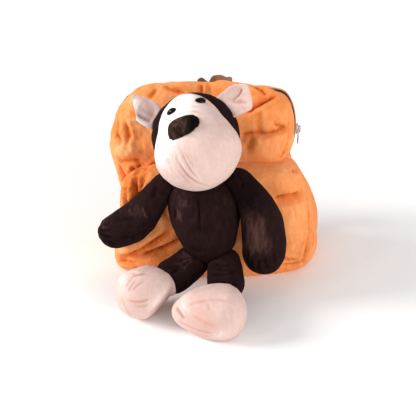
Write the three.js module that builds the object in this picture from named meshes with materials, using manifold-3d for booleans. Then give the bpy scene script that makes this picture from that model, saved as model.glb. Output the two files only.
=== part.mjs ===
// A plush animal backpack: a soft orange bag with a front pocket, and a stuffed monkey sewn to its front.
// Millimetres, +Z up. The bag stands on its base and its front faces -Y.
// The origin is the middle of the base.

import * as THREE from "three";
import { mergeVertices } from "three/addons/utils/BufferGeometryUtils.js";
import Module from "manifold-3d";

const wasm = await Module();
wasm.setup();

// Driving dimensions
const GAP = 0.3; // clearance between two pieces that touch
const END_STEP = 0.4; // where the first section of a stuffed piece lies, in steps along it
const PLUSH = 2.6; // thickness of the short-pile plush cloth
const BAG_MIDDLE = { x: -6, z: 112 }; // the outline shrinks towards this point on the front and back panels
const BAG_TURNS = 52; // points round the bag's outline
const POCKET_MIDDLE = { x: 2, z: 72 };
const POCKET_TURNS = 40;

// Outline of the bag seen from the front, anticlockwise from the middle of the base.
// It runs below the floor at the base, where the cloth is then pressed flat.
const BAG_OUTLINE = [
  { x: 0, z: -9 },
  { x: 96, z: -9 },
  { x: 130, z: 4 },
  { x: 146, z: 34 },
  { x: 133, z: 80 },
  { x: 112, z: 118 },
  { x: 96, z: 143 },
  { x: 103, z: 161 },
  { x: 105, z: 186 },
  { x: 101, z: 214 },
  { x: 88, z: 237 },
  { x: 40, z: 241 },
  { x: -22, z: 241 },
  { x: -76, z: 237 },
  { x: -124, z: 224 },
  { x: -147, z: 199 },
  { x: -155, z: 152 },
  { x: -141, z: 106 },
  { x: -140, z: 74 },
  { x: -146, z: 40 },
  { x: -140, z: 6 },
  { x: -100, z: -9 },
];

// How far the bag reaches forward and back at each height: it is fullest low down and leans back above.
const BAG_DEPTH = [
  { z: -10, front: -52, back: 56 },
  { z: 40, front: -56, back: 62 },
  { z: 120, front: -50, back: 64 },
  { z: 190, front: -26, back: 60 },
  { z: 262, front: 8, back: 42 },
];

// Rings of the front half, from the zip to the front panel. Depth is -1 at the front and 1 at the back,
// share is the ring's size against the outline, and crest is how far its top puffs up in front of the zip.
const BAG_FRONT_RINGS = [
  { depth: 0.34, share: 1.0, crest: 0 },
  { depth: 0.1, share: 1.0, crest: 7 },
  { depth: -0.2, share: 0.99, crest: 12 },
  { depth: -0.56, share: 0.96, crest: 10 },
  { depth: -0.82, share: 0.89, crest: 4 },
  { depth: -0.95, share: 0.77, crest: 0 },
  { depth: -1.0, share: 0.58, crest: 0 },
  { depth: -1.02, share: 0.36, crest: 0 },
  { depth: -1.02, share: 0.15, crest: 0 },
];
// Where along the top the crest is full.
const BAG_CREST = [
  { x: -140, full: 0 },
  { x: -96, full: 1 },
  { x: 50, full: 1 },
  { x: 92, full: 0 },
];
const CREST_FROM = 180; // height where the crest begins
const CREST_FULL = 225; // and where it is full
// Rings of the back half. Push is the share of the zip's width that the ring gives way by.
const BAG_BACK_RINGS = [
  { depth: 0.34, share: 1.0, push: 1 },
  { depth: 0.84, share: 0.975, push: 0.75 },
  { depth: 0.97, share: 0.9, push: 0.45 },
  { depth: 1.0, share: 0.7, push: 0 },
  { depth: 1.01, share: 0.42, push: 0 },
  { depth: 1.01, share: 0.16, push: 0 },
];

// Dents of the slack cloth on the front: a crease from one point to another, so deep and so wide.
const BAG_CREASES = [
  { fromX: -18, fromZ: 262, toX: -14, toZ: 228, deep: 8, wide: 15 },
  { fromX: -140, fromZ: 138, toX: -60, toZ: 150, deep: 9, wide: 15 },
  { fromX: 36, fromZ: 226, toX: 92, toZ: 244, deep: 5, wide: 15 },
  { fromX: 40, fromZ: 188, toX: 88, toZ: 192, deep: 5, wide: 14 },
  { fromX: 40, fromZ: 156, toX: 104, toZ: 154, deep: 4, wide: 12 },
];

// The front pocket: outline seen from the front, and rings from the bag to the pocket's face.
const POCKET_OUTLINE = [
  { x: 0, z: -8 },
  { x: 92, z: -8 },
  { x: 137, z: 4 },
  { x: 149, z: 36 },
  { x: 144, z: 70 },
  { x: 135, z: 108 },
  { x: 117, z: 150 },
  { x: 101, z: 161 },
  { x: 40, z: 161 },
  { x: -30, z: 157 },
  { x: -92, z: 146 },
  { x: -122, z: 128 },
  { x: -129, z: 90 },
  { x: -138, z: 40 },
  { x: -137, z: 2 },
  { x: -102, z: -8 },
];
const POCKET_RINGS = [
  { y: -6, share: 0.97 },
  { y: -36, share: 1.0 },
  { y: -62, share: 0.98 },
  { y: -80, share: 0.91 },
  { y: -88, share: 0.78 },
  { y: -92, share: 0.54 },
  { y: -93, share: 0.24 },
];
// How full the pocket hangs across its width, as a share of the rings' reach.
const POCKET_FILL = [
  { x: -140, full: 1.16 },
  { x: -20, full: 1.06 },
  { x: 60, full: 0.86 },
  { x: 140, full: 0.67 },
];
const POCKET_CREASES = [
  { fromX: 70, fromZ: 108, toX: 132, toZ: 124, deep: 5, wide: 16 },
  { fromX: -130, fromZ: 22, toX: -60, toZ: 44, deep: 5, wide: 16 },
];

// The zip runs over the top of the bag in a slot between its two halves.
const ZIP_SLOT = 11; // width of the slot that the tape fills
const ZIP_FROM = 16; // first point of the outline where the slot is open, low on the right
const ZIP_TO = 35; // and the last one, low on the left
const ZIP_TAPER = 0.8; // how far the tape reaches into the closing end of the slot, in points
const TAPE_THICK = 1.4;
const TAPE_GAP = 0.5; // between the tape's edges and the cloth on each side
const COIL = { wide: 5, high: 2 };
const SLIDER_AT = 17.6; // where the slider stands on the right side, in points of the outline

// Zip slider and pull, in the slider's own frame: x across the zip, y along it and z away from the bag.
const SLIDER = { wide: 9, long: 13, thick: 2.2 };
const BRIDGE = { wide: 2.4, thick: 1.5, span: 10, gap: 2.8 }; // the arch on the slider that the pull hooks on
const PULL = { wide: 10, long: 23, thick: 1.6, bar: 1.6 };
const PULL_EYE = { wide: 5, long: 7.4 };
const PULL_HOLE = { wide: 5, long: 8 };

// The carrying loop at the top and the two shoulder straps at the back
const LOOP = { wide: 17, thick: 3.4 };
const LOOP_ROUTE = [
  [-40, 50, 224],
  [-34, 66, 227],
  [-14, 76, 229],
  [4, 68, 229],
  [10, 50, 224],
];
const STRAP = { wide: 44, thick: 9 };
const STRAP_ROUTE = [
  { side: 42, y: 56, z: 200 },
  { side: 46, y: 82, z: 196 },
  { side: 56, y: 108, z: 152 },
  { side: 82, y: 106, z: 76 },
  { side: 104, y: 82, z: 31 },
  { side: 112, y: 60, z: 27 },
];

// The monkey: two balls make its head, the brown back and the pale face with the muzzle.
const HEAD = { x: -17, y: -70, z: 211, radius: 59 };
const FACE_ROUTE = [
  [-35, -65, 266],
  [12, -146, 178],
];
const FACE_SECTIONS = [
  { at: 0.0, wide: 31, thick: 31 },
  { at: 0.25, wide: 39.5, thick: 38 },
  { at: 0.6, wide: 57, thick: 58 },
  { at: 1.0, wide: 57, thick: 59 },
];
const FACE_ROUND = { start: 0.24, end: 0.42 };

// Where a nose, an eye or an ear sits: a point, the way it faces and its roll in degrees.
const NOSE = { x: -19, y: -138, z: 253, facing: [-0.17, -0.77, 0.6], roll: 12 };
const NOSE_TURNS = 18; // points round the nose's outline
// The nose seen from its front: u to the right and v up.
const NOSE_OUTLINE = [
  { u: -19, v: 6 },
  { u: -18, v: -12 },
  { u: -13, v: -18 },
  { u: 4, v: -17 },
  { u: 16, v: -6 },
  { u: 21, v: 7 },
  { u: 16, v: 17 },
  { u: 7, v: 18 },
];
const NOSE_RINGS = [
  { rise: -14, share: 0.8 },
  { rise: -4, share: 1.0 },
  { rise: 3, share: 1.0 },
  { rise: 10, share: 0.88 },
  { rise: 14, share: 0.6 },
  { rise: 15.5, share: 0.25 },
];
const EYE = { wide: 15, tall: 10, high: 8 };
const EYES = [
  { side: "left", x: -40.3, y: -110.8, z: 263.3, facing: [-0.6, -0.42, 0.68], roll: 60 },
  { side: "right", x: -6.2, y: -94.5, z: 273.8, facing: [0.15, -0.3, 0.94], roll: 0 },
];
const EAR = { thick: 8, dish: 9 };
// An ear's half width and half height, and how far its tip is drawn in: a tip below zero is blunt.
const EARS = [
  { side: "left", x: -84, y: -62, z: 238, facing: [0.25, -0.85, 0.45], roll: 40, wide: 18, tall: 30, tip: 0.6 },
  { side: "right", x: 28.5, y: -52, z: 253.5, facing: [-0.1, -0.85, 0.5], roll: -52, wide: 19.5, tall: 29, tip: -0.45 },
];

const TORSO_RINGS = 10;
const TORSO_SIDES = 18;
const TORSO = [
  { z: 176, x: -4, y: -92, wide: 26, deep: 24 },
  { z: 160, x: -3, y: -97, wide: 42, deep: 36 },
  { z: 124, x: 0, y: -104, wide: 49, deep: 44 },
  { z: 94, x: 4, y: -110, wide: 43, deep: 43 },
  { z: 68, x: 9, y: -114, wide: 32, deep: 34 },
  { z: 50, x: 11, y: -116, wide: 17, deep: 17 },
];

// Stuffed limbs: a route of a few points, and the half widths of oval sections along it.
const ARM_LEFT_SECTIONS = [
  { at: 0.0, wide: 16, thick: 17 },
  { at: 0.3, wide: 19, thick: 20 },
  { at: 0.58, wide: 28, thick: 23 },
  { at: 0.82, wide: 25, thick: 22 },
  { at: 1.0, wide: 21, thick: 20 },
];
const ARM_RIGHT_SECTIONS = [
  { at: 0.0, wide: 16, thick: 18 },
  { at: 0.3, wide: 19, thick: 21 },
  { at: 0.7, wide: 30, thick: 24 },
  { at: 1.0, wide: 29, thick: 23 },
];
const ARM_ROUND = { start: 0.16, end: 0.13 };
const ARM_LEFT_ROUTE = [
  [-32, -98, 172],
  [-56, -105, 150],
  [-86, -110, 106],
  [-112, -112, 84],
  [-144, -112, 68],
];
const ARM_RIGHT_ROUTE = [
  [32, -97, 179],
  [58, -104, 155],
  [80, -112, 112],
  [83, -118, 37],
];
const LEG_SECTIONS = [
  { at: 0.0, wide: 23, thick: 22 },
  { at: 1.0, wide: 26, thick: 23 },
];
const LEG_ROUND = { start: 0.3, end: 0.2 };
const LEG_LEFT_ROUTE = [
  [4, -114, 66],
  [-20, -142, 50],
  [-50, -172, 38],
];
const LEG_RIGHT_ROUTE = [
  [24, -112, 66],
  [36, -146, 54],
  [44, -186, 42],
];
const FOOT_LEFT_SECTIONS = [
  { at: 0.0, wide: 32, thick: 29 },
  { at: 0.45, wide: 39, thick: 37 },
  { at: 1.0, wide: 28, thick: 32 },
];
const FOOT_RIGHT_SECTIONS = [
  { at: 0.0, wide: 36, thick: 37 },
  { at: 0.5, wide: 37, thick: 37 },
  { at: 1.0, wide: 27, thick: 28 },
];
const FOOT_ROUND = { start: 0.34, end: 0.45 };
const FOOT_LEFT_ROUTE = [
  [-26, -184, 52],
  [-66, -186, 35],
  [-105, -179, 43],
];
const FOOT_RIGHT_ROUTE = [
  [74, -201, 31],
  [30, -206, 30],
  [-24, -212, 29],
];

const COLOURS = {
  orange: 0xe08a4a,
  brown: 0x33211f,
  nose: 0x3d2a26,
  pale: 0xf2d9d0,
  black: 0x0b0b0c,
  tape: 0x3a2a24,
  loop: 0x8a5636,
  metal: 0xb9bcc0,
};

const point = (x, y, z) => new THREE.Vector3(x, y, z);
const ACROSS = point(1, 0, 0);
const FORWARD = point(0, -1, 0);
const FLOOR = point(-Infinity, -Infinity, 0); // nothing reaches below it

// A number from a table's column at any place along another column, on a smooth curve through the rows.
function read(rows, along, column, place) {
  const places = rows.map((row) => row[along]);
  const ends = { endingStart: THREE.ZeroSlopeEnding, endingEnd: THREE.ZeroSlopeEnding };
  const curve = new THREE.CubicInterpolant(places, rows.map((row) => row[column]), 1);
  curve.settings = ends;
  return curve.evaluate(THREE.MathUtils.clamp(place, places[0], places.at(-1)))[0];
}

// Shapes

// A closed skin over a stack of rings with equal counts of points, with a fan at each end.
function skin(rings) {
  const count = rings[0].length;
  const middle = (ring) => ring.reduce((sum, p) => sum.add(p), point(0, 0, 0)).divideScalar(count);
  const points = [middle(rings[0]), ...rings.flat(), middle(rings.at(-1))];
  const at = (ring, turn) => 1 + ring * count + (turn % count);
  const last = rings.length - 1;
  const faces = [];
  for (let turn = 0; turn < count; turn++) {
    faces.push(0, at(0, turn + 1), at(0, turn));
    for (let ring = 0; ring < last; ring++) {
      faces.push(at(ring, turn), at(ring, turn + 1), at(ring + 1, turn));
      faces.push(at(ring, turn + 1), at(ring + 1, turn + 1), at(ring + 1, turn));
    }
    faces.push(points.length - 1, at(last, turn), at(last, turn + 1));
  }
  return facingOut(geometryOf(points.flatMap((p) => [p.x, p.y, p.z]), faces));
}

function geometryOf(positions, faces) {
  const geometry = new THREE.BufferGeometry();
  geometry.setAttribute("position", new THREE.Float32BufferAttribute(positions, 3));
  geometry.setIndex(faces);
  return geometry;
}

// Turns every face round if the skin is inside out.
function facingOut(geometry) {
  const { array } = geometry.index;
  const [a, b, c] = [point(), point(), point()];
  let volume = 0;
  for (let i = 0; i < array.length; i += 3) {
    [a, b, c].forEach((p, k) => p.fromBufferAttribute(geometry.attributes.position, array[i + k]));
    volume += a.dot(b.cross(c));
  }
  if (volume < 0) {
    for (let i = 0; i < array.length; i += 3) [array[i + 1], array[i + 2]] = [array[i + 2], array[i + 1]];
  }
  return geometry;
}

// The same rings moved along the normal of the surface that they span.
// The first ring, the rim, keeps its depth.
function offset(rings, distance) {
  const last = rings.length - 1;
  return rings.map((ring, r) =>
    ring.map((p, turn) => {
      const next = ring[(turn + 1) % ring.length];
      const before = ring[(turn + ring.length - 1) % ring.length];
      const along = next.clone().sub(before);
      const across = rings[Math.min(r + 1, last)][turn].clone().sub(rings[Math.max(r - 1, 0)][turn]);
      const normal = along.cross(across);
      if (r === 0) normal.setY(0);
      return p.clone().addScaledVector(normal.normalize(), distance);
    }),
  );
}

// A cloth shell that is open at its first ring, and the solid form of its outside, grown by the gap.
const shell = (outer) => skin([...outer.slice().reverse(), ...offset(outer, -PLUSH)]);
const grownForm = (outer) => skin(offset(outer, GAP).reverse());

// A solid of oval sections along a curve, with rounded ends.
// The wide way of a section keeps to one direction.
function loft(route, sections, wideWay, round, grow = 0, stations = 10, sides = 14) {
  const curve = new THREE.CatmullRomCurve3(route.map((p) => point(...p)));
  const rings = [];
  for (let station = 0; station <= stations; station++) {
    const at = (1 - Math.cos((Math.PI * (station + END_STEP)) / (stations + 2 * END_STEP))) / 2;
    const ahead = curve.getTangent(at);
    const towardsEnd = station === 0 ? -grow : station === stations ? grow : 0;
    const centre = curve.getPoint(at).addScaledVector(ahead, towardsEnd);
    const thickWay = ahead.clone().cross(wideWay).normalize();
    const side = thickWay.clone().cross(ahead);
    const inset = Math.max(0, 1 - at / round.start, 1 - (1 - at) / round.end);
    const dome = Math.sqrt(1 - inset * inset);
    const wide = read(sections, "at", "wide", at) * dome + grow;
    const thick = read(sections, "at", "thick", at) * dome + grow;
    rings.push(
      Array.from({ length: sides }, (_, turn) => {
        const angle = (2 * Math.PI * turn) / sides;
        return centre
          .clone()
          .addScaledVector(side, wide * Math.cos(angle))
          .addScaledVector(thickWay, thick * Math.sin(angle))
          .max(FLOOR);
      }),
    );
  }
  return skin(rings);
}

// A flat band with rounded edges along a curve.
function band(route, { wide, thick }, wideWay, stations) {
  const curve = new THREE.CatmullRomCurve3(route.map((p) => point(...p)));
  const edge = thick / 2;
  const flat = wide / 2 - edge;
  const section = [
    [-flat - edge, 0],
    [-flat, -edge],
    [flat, -edge],
    [flat + edge, 0],
    [flat, edge],
    [-flat, edge],
  ];
  const rings = [];
  for (let station = 0; station <= stations; station++) {
    const ahead = curve.getTangent(station / stations);
    const thickWay = ahead.clone().cross(wideWay).normalize();
    const side = thickWay.clone().cross(ahead);
    const centre = curve.getPoint(station / stations);
    rings.push(
      section.map(([s, t]) => centre.clone().addScaledVector(side, s).addScaledVector(thickWay, t)),
    );
  }
  return skin(rings);
}

function weld(geometry) {
  geometry.deleteAttribute("normal");
  geometry.deleteAttribute("uv");
  return mergeVertices(geometry, 1e-3);
}

// Joining and cutting

function solid(geometry) {
  const vertProperties = new Float32Array(geometry.attributes.position.array);
  const triVerts = new Uint32Array(geometry.index.array);
  return new wasm.Manifold(new wasm.Mesh({ numProp: 3, vertProperties, triVerts }));
}

// The largest body of a solid, as a geometry.
function largest(made) {
  const bodies = made.decompose().sort((a, b) => b.volume() - a.volume());
  const mesh = bodies[0].getMesh();
  return geometryOf(Array.from(mesh.vertProperties), Array.from(mesh.triVerts));
}

const cut = (geometry, ...cutters) =>
  largest(cutters.reduce((made, cutter) => made.subtract(solid(cutter)), solid(geometry)));
const join = (...geometries) => largest(geometries.map(solid).reduce((made, next) => made.add(next)));

// The bag

// Points at equal steps round a closed outline, anticlockwise seen from the front.
function outlinePoints(rows, count) {
  const curve = new THREE.CatmullRomCurve3(rows.map(({ x, z }) => point(x, 0, z)), true, "centripetal");
  return curve.getSpacedPoints(count).slice(0, count);
}

// How deep the creases of a table dent the cloth at a place on the front.
function dent(creases, x, z) {
  return creases.reduce((sum, { fromX, fromZ, toX, toZ, deep, wide }) => {
    const line = new THREE.Line3(point(fromX, 0, fromZ), point(toX, 0, toZ));
    const nearest = line.closestPointToPoint(point(x, 0, z), true, point());
    const away = Math.hypot(nearest.x - x, nearest.z - z) / wide;
    return sum + deep * Math.exp(-away * away);
  }, 0);
}

const bagOutline = outlinePoints(BAG_OUTLINE, BAG_TURNS);
const shrink = (p, middle, share) => ({
  x: middle.x + (p.x - middle.x) * share,
  z: Math.max(0, middle.z + (p.z - middle.z) * share),
});

// One ring of the bag. Each of its points moves towards the back by the push, in millimetres.
function bagRing({ depth, share, crest = 0 }, push = () => 0) {
  return bagOutline.map((p, turn) => {
    const { x, z } = shrink(p, BAG_MIDDLE, share);
    const onTop = THREE.MathUtils.smoothstep(z, CREST_FROM, CREST_FULL);
    const rise = crest * onTop * read(BAG_CREST, "x", "full", x);
    const front = read(BAG_DEPTH, "z", "front", z);
    const back = read(BAG_DEPTH, "z", "back", z);
    const onFront = THREE.MathUtils.smoothstep(-depth, -0.2, 0.9);
    const y = (front + back) / 2 + ((back - front) / 2) * depth;
    return point(x, y + push(turn) + onFront * dent(BAG_CREASES, x, z), z + rise);
  });
}

// Width of the slot between the two halves: open along the zip, closed to a gap elsewhere.
const slotWidth = (turn) => (turn >= ZIP_FROM && turn <= ZIP_TO ? ZIP_SLOT : GAP);

const bagFrontRings = BAG_FRONT_RINGS.map((row) => bagRing(row));

// The back half turns the other way, so that it faces out.
const bagBackRings = BAG_BACK_RINGS.map((row) =>
  bagRing(row, (turn) => row.push * slotWidth(turn)).reverse(),
);

const pocketOutline = outlinePoints(POCKET_OUTLINE, POCKET_TURNS);
const pocketRings = POCKET_RINGS.map(({ y, share }) =>
  pocketOutline.map((p) => {
    const { x, z } = shrink(p, POCKET_MIDDLE, share);
    const onFace = THREE.MathUtils.smoothstep(-y, 40, 90);
    return point(x, y * read(POCKET_FILL, "x", "full", x) + onFace * dent(POCKET_CREASES, x, z), z);
  }),
);

// What leans on the bag is cut by its solid forms.
const bagForm = grownForm(bagFrontRings);
const backForm = grownForm(bagBackRings);
const pocketForm = grownForm(pocketRings);

const bagFront = shell(bagFrontRings);
const bagBack = shell(bagBackRings);
const frontPocket = cut(shell(pocketRings), bagForm);

// The zip

// A strip in the zip's slot, between two shares of the slot's width and two heights over the cloth.
// Its ends taper with the slot.
function zipStrip(fromShare, toShare, low, high) {
  const rim = bagFrontRings[0];
  const places = Array.from({ length: ZIP_TO - ZIP_FROM + 1 }, (_, step) => ZIP_FROM + step);
  const rings = [ZIP_FROM - ZIP_TAPER, ...places, ZIP_TO + ZIP_TAPER].map((place) => {
    const turn = Math.floor(place);
    const beyond = place - turn;
    const along = rim[turn + 1].clone().sub(rim[turn - 1]).setY(0).normalize();
    const outward = point(along.z, 0, -along.x);
    const width = THREE.MathUtils.lerp(slotWidth(turn), slotWidth(turn + 1), beyond) - 2 * TAPE_GAP;
    const edge = rim[turn].clone().lerp(rim[turn + 1], beyond);
    const corner = (share, height) =>
      edge.clone().addScaledVector(outward, height).add(point(0, TAPE_GAP + width * share, 0));
    return [corner(fromShare, low), corner(toShare, low), corner(toShare, high), corner(fromShare, high)];
  });
  return skin(rings);
}

const tapeTop = -0.8; // the tape lies a little below the cloth's outer face
const coilHalf = COIL.wide / (ZIP_SLOT - 2 * TAPE_GAP) / 2;
const zipTape = zipStrip(0, 1, tapeTop - TAPE_THICK, tapeTop);
const zipCoil = zipStrip(0.5 - coilHalf, 0.5 + coilHalf, tapeTop + GAP, tapeTop + GAP + COIL.high);

// The slider's frame on the coil: x across the zip, y along it and z away from the bag.
const [sliderBelow, sliderAbove] = bagFrontRings[0].slice(Math.floor(SLIDER_AT), Math.floor(SLIDER_AT) + 2);
const sliderSpot = sliderBelow.clone().lerp(sliderAbove, SLIDER_AT % 1);
const sliderAlong = sliderAbove.clone().sub(sliderBelow).setY(0).normalize();
const sliderOut = point(sliderAlong.z, 0, -sliderAlong.x);
const sliderAcross = sliderAlong.clone().cross(sliderOut);
const sliderFrame = new THREE.Matrix4().makeBasis(sliderAcross, sliderAlong, sliderOut);
sliderFrame.setPosition(
  sliderSpot
    .clone()
    .add(point(0, ZIP_SLOT / 2, 0))
    .addScaledVector(sliderOut, tapeTop + GAP + COIL.high + GAP),
);

const box = (wide, long, high, x, y, z) => weld(new THREE.BoxGeometry(wide, long, high).translate(x, y, z));

// A plate with a bridge over it. The bridge's posts are sunk into the plate.
function zipSlider() {
  const { wide, long, thick } = SLIDER;
  const postHigh = thick / 2 + BRIDGE.gap + BRIDGE.thick;
  const postOut = (BRIDGE.span - BRIDGE.thick) / 2;
  const plate = box(wide, long, thick, 0, 0, thick / 2);
  const posts = [-postOut, postOut].map((along) =>
    box(BRIDGE.wide, BRIDGE.thick, postHigh, 0, along, (thick + postHigh) / 2),
  );
  const top = box(BRIDGE.wide, BRIDGE.span, BRIDGE.thick, 0, 0, thick + BRIDGE.gap + BRIDGE.thick / 2);
  return join(plate, ...posts, top).applyMatrix4(sliderFrame);
}

// A tab that hangs from the bridge: an eye round the bridge at its top, and an oval hole in its lower end.
function zipPull() {
  const { wide, long, thick, bar } = PULL;
  const outline = new THREE.Shape();
  outline.moveTo(-wide / 2, bar / 2);
  outline.lineTo(-wide / 2, -long + wide / 2);
  outline.absarc(0, -long + wide / 2, wide / 2, Math.PI, 2 * Math.PI, false);
  outline.lineTo(wide / 2, bar / 2);
  const eye = new THREE.Path();
  const eyeEnd = -bar / 2 - PULL_EYE.long;
  eye.moveTo(-PULL_EYE.wide / 2, -bar / 2);
  eye.lineTo(PULL_EYE.wide / 2, -bar / 2);
  eye.lineTo(PULL_EYE.wide / 2, eyeEnd);
  eye.lineTo(-PULL_EYE.wide / 2, eyeEnd);
  const hole = new THREE.Path();
  const holeRadius = PULL_HOLE.wide / 2;
  const holeTop = eyeEnd - bar - holeRadius;
  hole.absarc(0, holeTop, holeRadius, 0, Math.PI, false);
  hole.absarc(0, holeTop - PULL_HOLE.long + PULL_HOLE.wide, holeRadius, Math.PI, 2 * Math.PI, false);
  outline.holes.push(eye, hole);
  const tab = new THREE.ExtrudeGeometry(outline, { depth: thick, bevelEnabled: false, curveSegments: 6 });
  tab.translate(0, 0, SLIDER.thick + BRIDGE.gap / 2 - thick / 2);
  return weld(tab).applyMatrix4(sliderFrame);
}

// Loop and straps

const acrossLoop = point(0, 0.55, 1);
const carryLoop = cut(band(LOOP_ROUTE, LOOP, acrossLoop, 16), backForm);

function shoulderStrap(side) {
  const route = STRAP_ROUTE.map((row) => [side * row.side, row.y, row.z]);
  const strap = band(route, STRAP, ACROSS, 22);
  return cut(strap, backForm);
}

// The monkey

// The head's pale part: an egg from the forehead to the round end of the muzzle.
const faceEgg = (grow = 0) => loft(FACE_ROUTE, FACE_SECTIONS, ACROSS, FACE_ROUND, grow, 13, 22);

const headBall = (grow = 0) =>
  weld(new THREE.SphereGeometry(HEAD.radius + grow, 20, 12).translate(HEAD.x, HEAD.y, HEAD.z));

// The torso: level oval sections from the shoulders down to the seat.
function torsoForm(grow = 0) {
  const upwards = TORSO.slice().reverse();
  const rings = Array.from({ length: TORSO_RINGS }, (_, ring) => {
    const down = ring / (TORSO_RINGS - 1);
    const z = THREE.MathUtils.lerp(TORSO[0].z + grow, TORSO.at(-1).z - grow, down);
    const [x, y, wide, deep] = ["x", "y", "wide", "deep"].map((column) => read(upwards, "z", column, z));
    return Array.from({ length: TORSO_SIDES }, (_, turn) => {
      const angle = (2 * Math.PI * turn) / TORSO_SIDES;
      return point(x + (wide + grow) * Math.cos(angle), y + (deep + grow) * Math.sin(angle), z);
    });
  });
  return skin(rings);
}

// Turns a shape so that its own z faces a given way, rolled about it, and moves it to its place.
function sit(geometry, { x, y, z, facing, roll }) {
  const out = point(...facing).normalize();
  const right = point(0, 0, 1).cross(out).normalize();
  const frame = new THREE.Matrix4().makeBasis(right, out.clone().cross(right), out).setPosition(x, y, z);
  geometry.rotateZ(THREE.MathUtils.degToRad(roll));
  return weld(geometry.applyMatrix4(frame));
}

// A button: a ball squashed to a width, a height and a rise.
const button = (at, { wide, tall, high }, sides) =>
  sit(new THREE.SphereGeometry(0.5, sides, Math.round(sides * 0.7)).scale(wide, tall, high), at);

// The nose: its outline rises from the face and draws in to a rounded front.
function noseForm() {
  const rows = NOSE_OUTLINE.map(({ u, v }) => point(u, v, 0));
  const curve = new THREE.CatmullRomCurve3(rows, true, "centripetal");
  const edge = curve.getSpacedPoints(NOSE_TURNS).slice(0, NOSE_TURNS);
  const rings = NOSE_RINGS.map(({ rise, share }) => edge.map((p) => point(p.x * share, p.y * share, rise)));
  return sit(skin(rings), NOSE);
}

// A dished ear: the front of a flat egg is pushed in, and its top is drawn in or spread.
function ear(at) {
  const geometry = new THREE.SphereGeometry(1, 14, 10);
  const { position } = geometry.attributes;
  for (let i = 0; i < position.count; i++) {
    const [a, b, c] = [position.getX(i), position.getY(i), position.getZ(i)];
    const hollow = EAR.dish * (a * a + b * b);
    const wide = at.wide * (1 - at.tip * Math.max(0, b));
    position.setXYZ(i, a * wide, b * at.tall, (c * EAR.thick) / 2 + hollow);
  }
  return sit(geometry, at);
}

const sideways = point(-1, 0, 1).normalize(); // the wide way of the arm that reaches out
const armLeft = (grow) => loft(ARM_LEFT_ROUTE, ARM_LEFT_SECTIONS, sideways, ARM_ROUND, grow);
const armRight = (grow) => loft(ARM_RIGHT_ROUTE, ARM_RIGHT_SECTIONS, ACROSS, ARM_ROUND, grow);
const legLeft = (grow) => loft(LEG_LEFT_ROUTE, LEG_SECTIONS, ACROSS, LEG_ROUND, grow, 7);
const legRight = (grow) => loft(LEG_RIGHT_ROUTE, LEG_SECTIONS, ACROSS, LEG_ROUND, grow, 7);
const footLeft = (grow) => loft(FOOT_LEFT_ROUTE, FOOT_LEFT_SECTIONS, FORWARD, FOOT_ROUND, grow, 9);
const footRight = (grow) => loft(FOOT_RIGHT_ROUTE, FOOT_RIGHT_SECTIONS, FORWARD, FOOT_ROUND, grow, 9);

const face = faceEgg();
const headBack = cut(headBall(), faceEgg(GAP), bagForm, pocketForm);
const torso = cut(torsoForm(), faceEgg(GAP), headBall(GAP), bagForm, pocketForm);
const body = [torsoForm(GAP), headBall(GAP), faceEgg(GAP), bagForm, pocketForm];
const nose = cut(noseForm(), faceEgg(GAP));
const eyeOn = (at) => cut(button(at, EYE, 14), faceEgg(GAP));

// The assembly

function cloth(colour) {
  return new THREE.MeshStandardMaterial({ color: COLOURS[colour], roughness: 0.95, metalness: 0 });
}

const materials = {
  ...Object.fromEntries(Object.keys(COLOURS).map((name) => [name, cloth(name)])),
  black: new THREE.MeshStandardMaterial({ color: COLOURS.black, roughness: 0.12, metalness: 0 }),
  metal: new THREE.MeshStandardMaterial({ color: COLOURS.metal, roughness: 0.3, metalness: 1 }),
};

const backpack = new THREE.Group();

function add(name, geometry, colour) {
  const mesh = new THREE.Mesh(geometry, materials[colour]);
  mesh.name = name;
  backpack.add(mesh);
}

add("bag_front", bagFront, "orange");
add("bag_back", bagBack, "orange");
add("front_pocket", frontPocket, "orange");
add("zip_tape", zipTape, "tape");
add("zip_coil", zipCoil, "tape");
add("zip_slider", zipSlider(), "metal");
add("zip_pull", zipPull(), "metal");
add("carry_loop", carryLoop, "loop");
add("strap_left", shoulderStrap(-1), "loop");
add("strap_right", shoulderStrap(1), "loop");
add("head_back", headBack, "brown");
add("face", face, "pale");
add("nose", nose, "nose");
EYES.forEach((eye) => add(`eye_${eye.side}`, eyeOn(eye), "black"));
EARS.forEach((row) => add(`ear_${row.side}`, cut(ear(row), headBall(GAP), bagForm, faceEgg(GAP)), "pale"));
add("torso", torso, "brown");
add("arm_left", cut(armLeft(0), ...body), "brown");
add("arm_right", cut(armRight(0), ...body), "brown");
add("leg_left", cut(legLeft(0), ...body, footLeft(GAP)), "brown");
add("leg_right", cut(legRight(0), ...body, footRight(GAP), legLeft(GAP)), "brown");
add("foot_left", footLeft(0), "pale");
add("foot_right", footRight(0), "pale");

export default backpack;
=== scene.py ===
import math

import bpy
import numpy as np
from bpy.props import FloatProperty, PointerProperty, StringProperty
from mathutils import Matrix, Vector, noise
from mathutils.bvhtree import BVHTree


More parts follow.
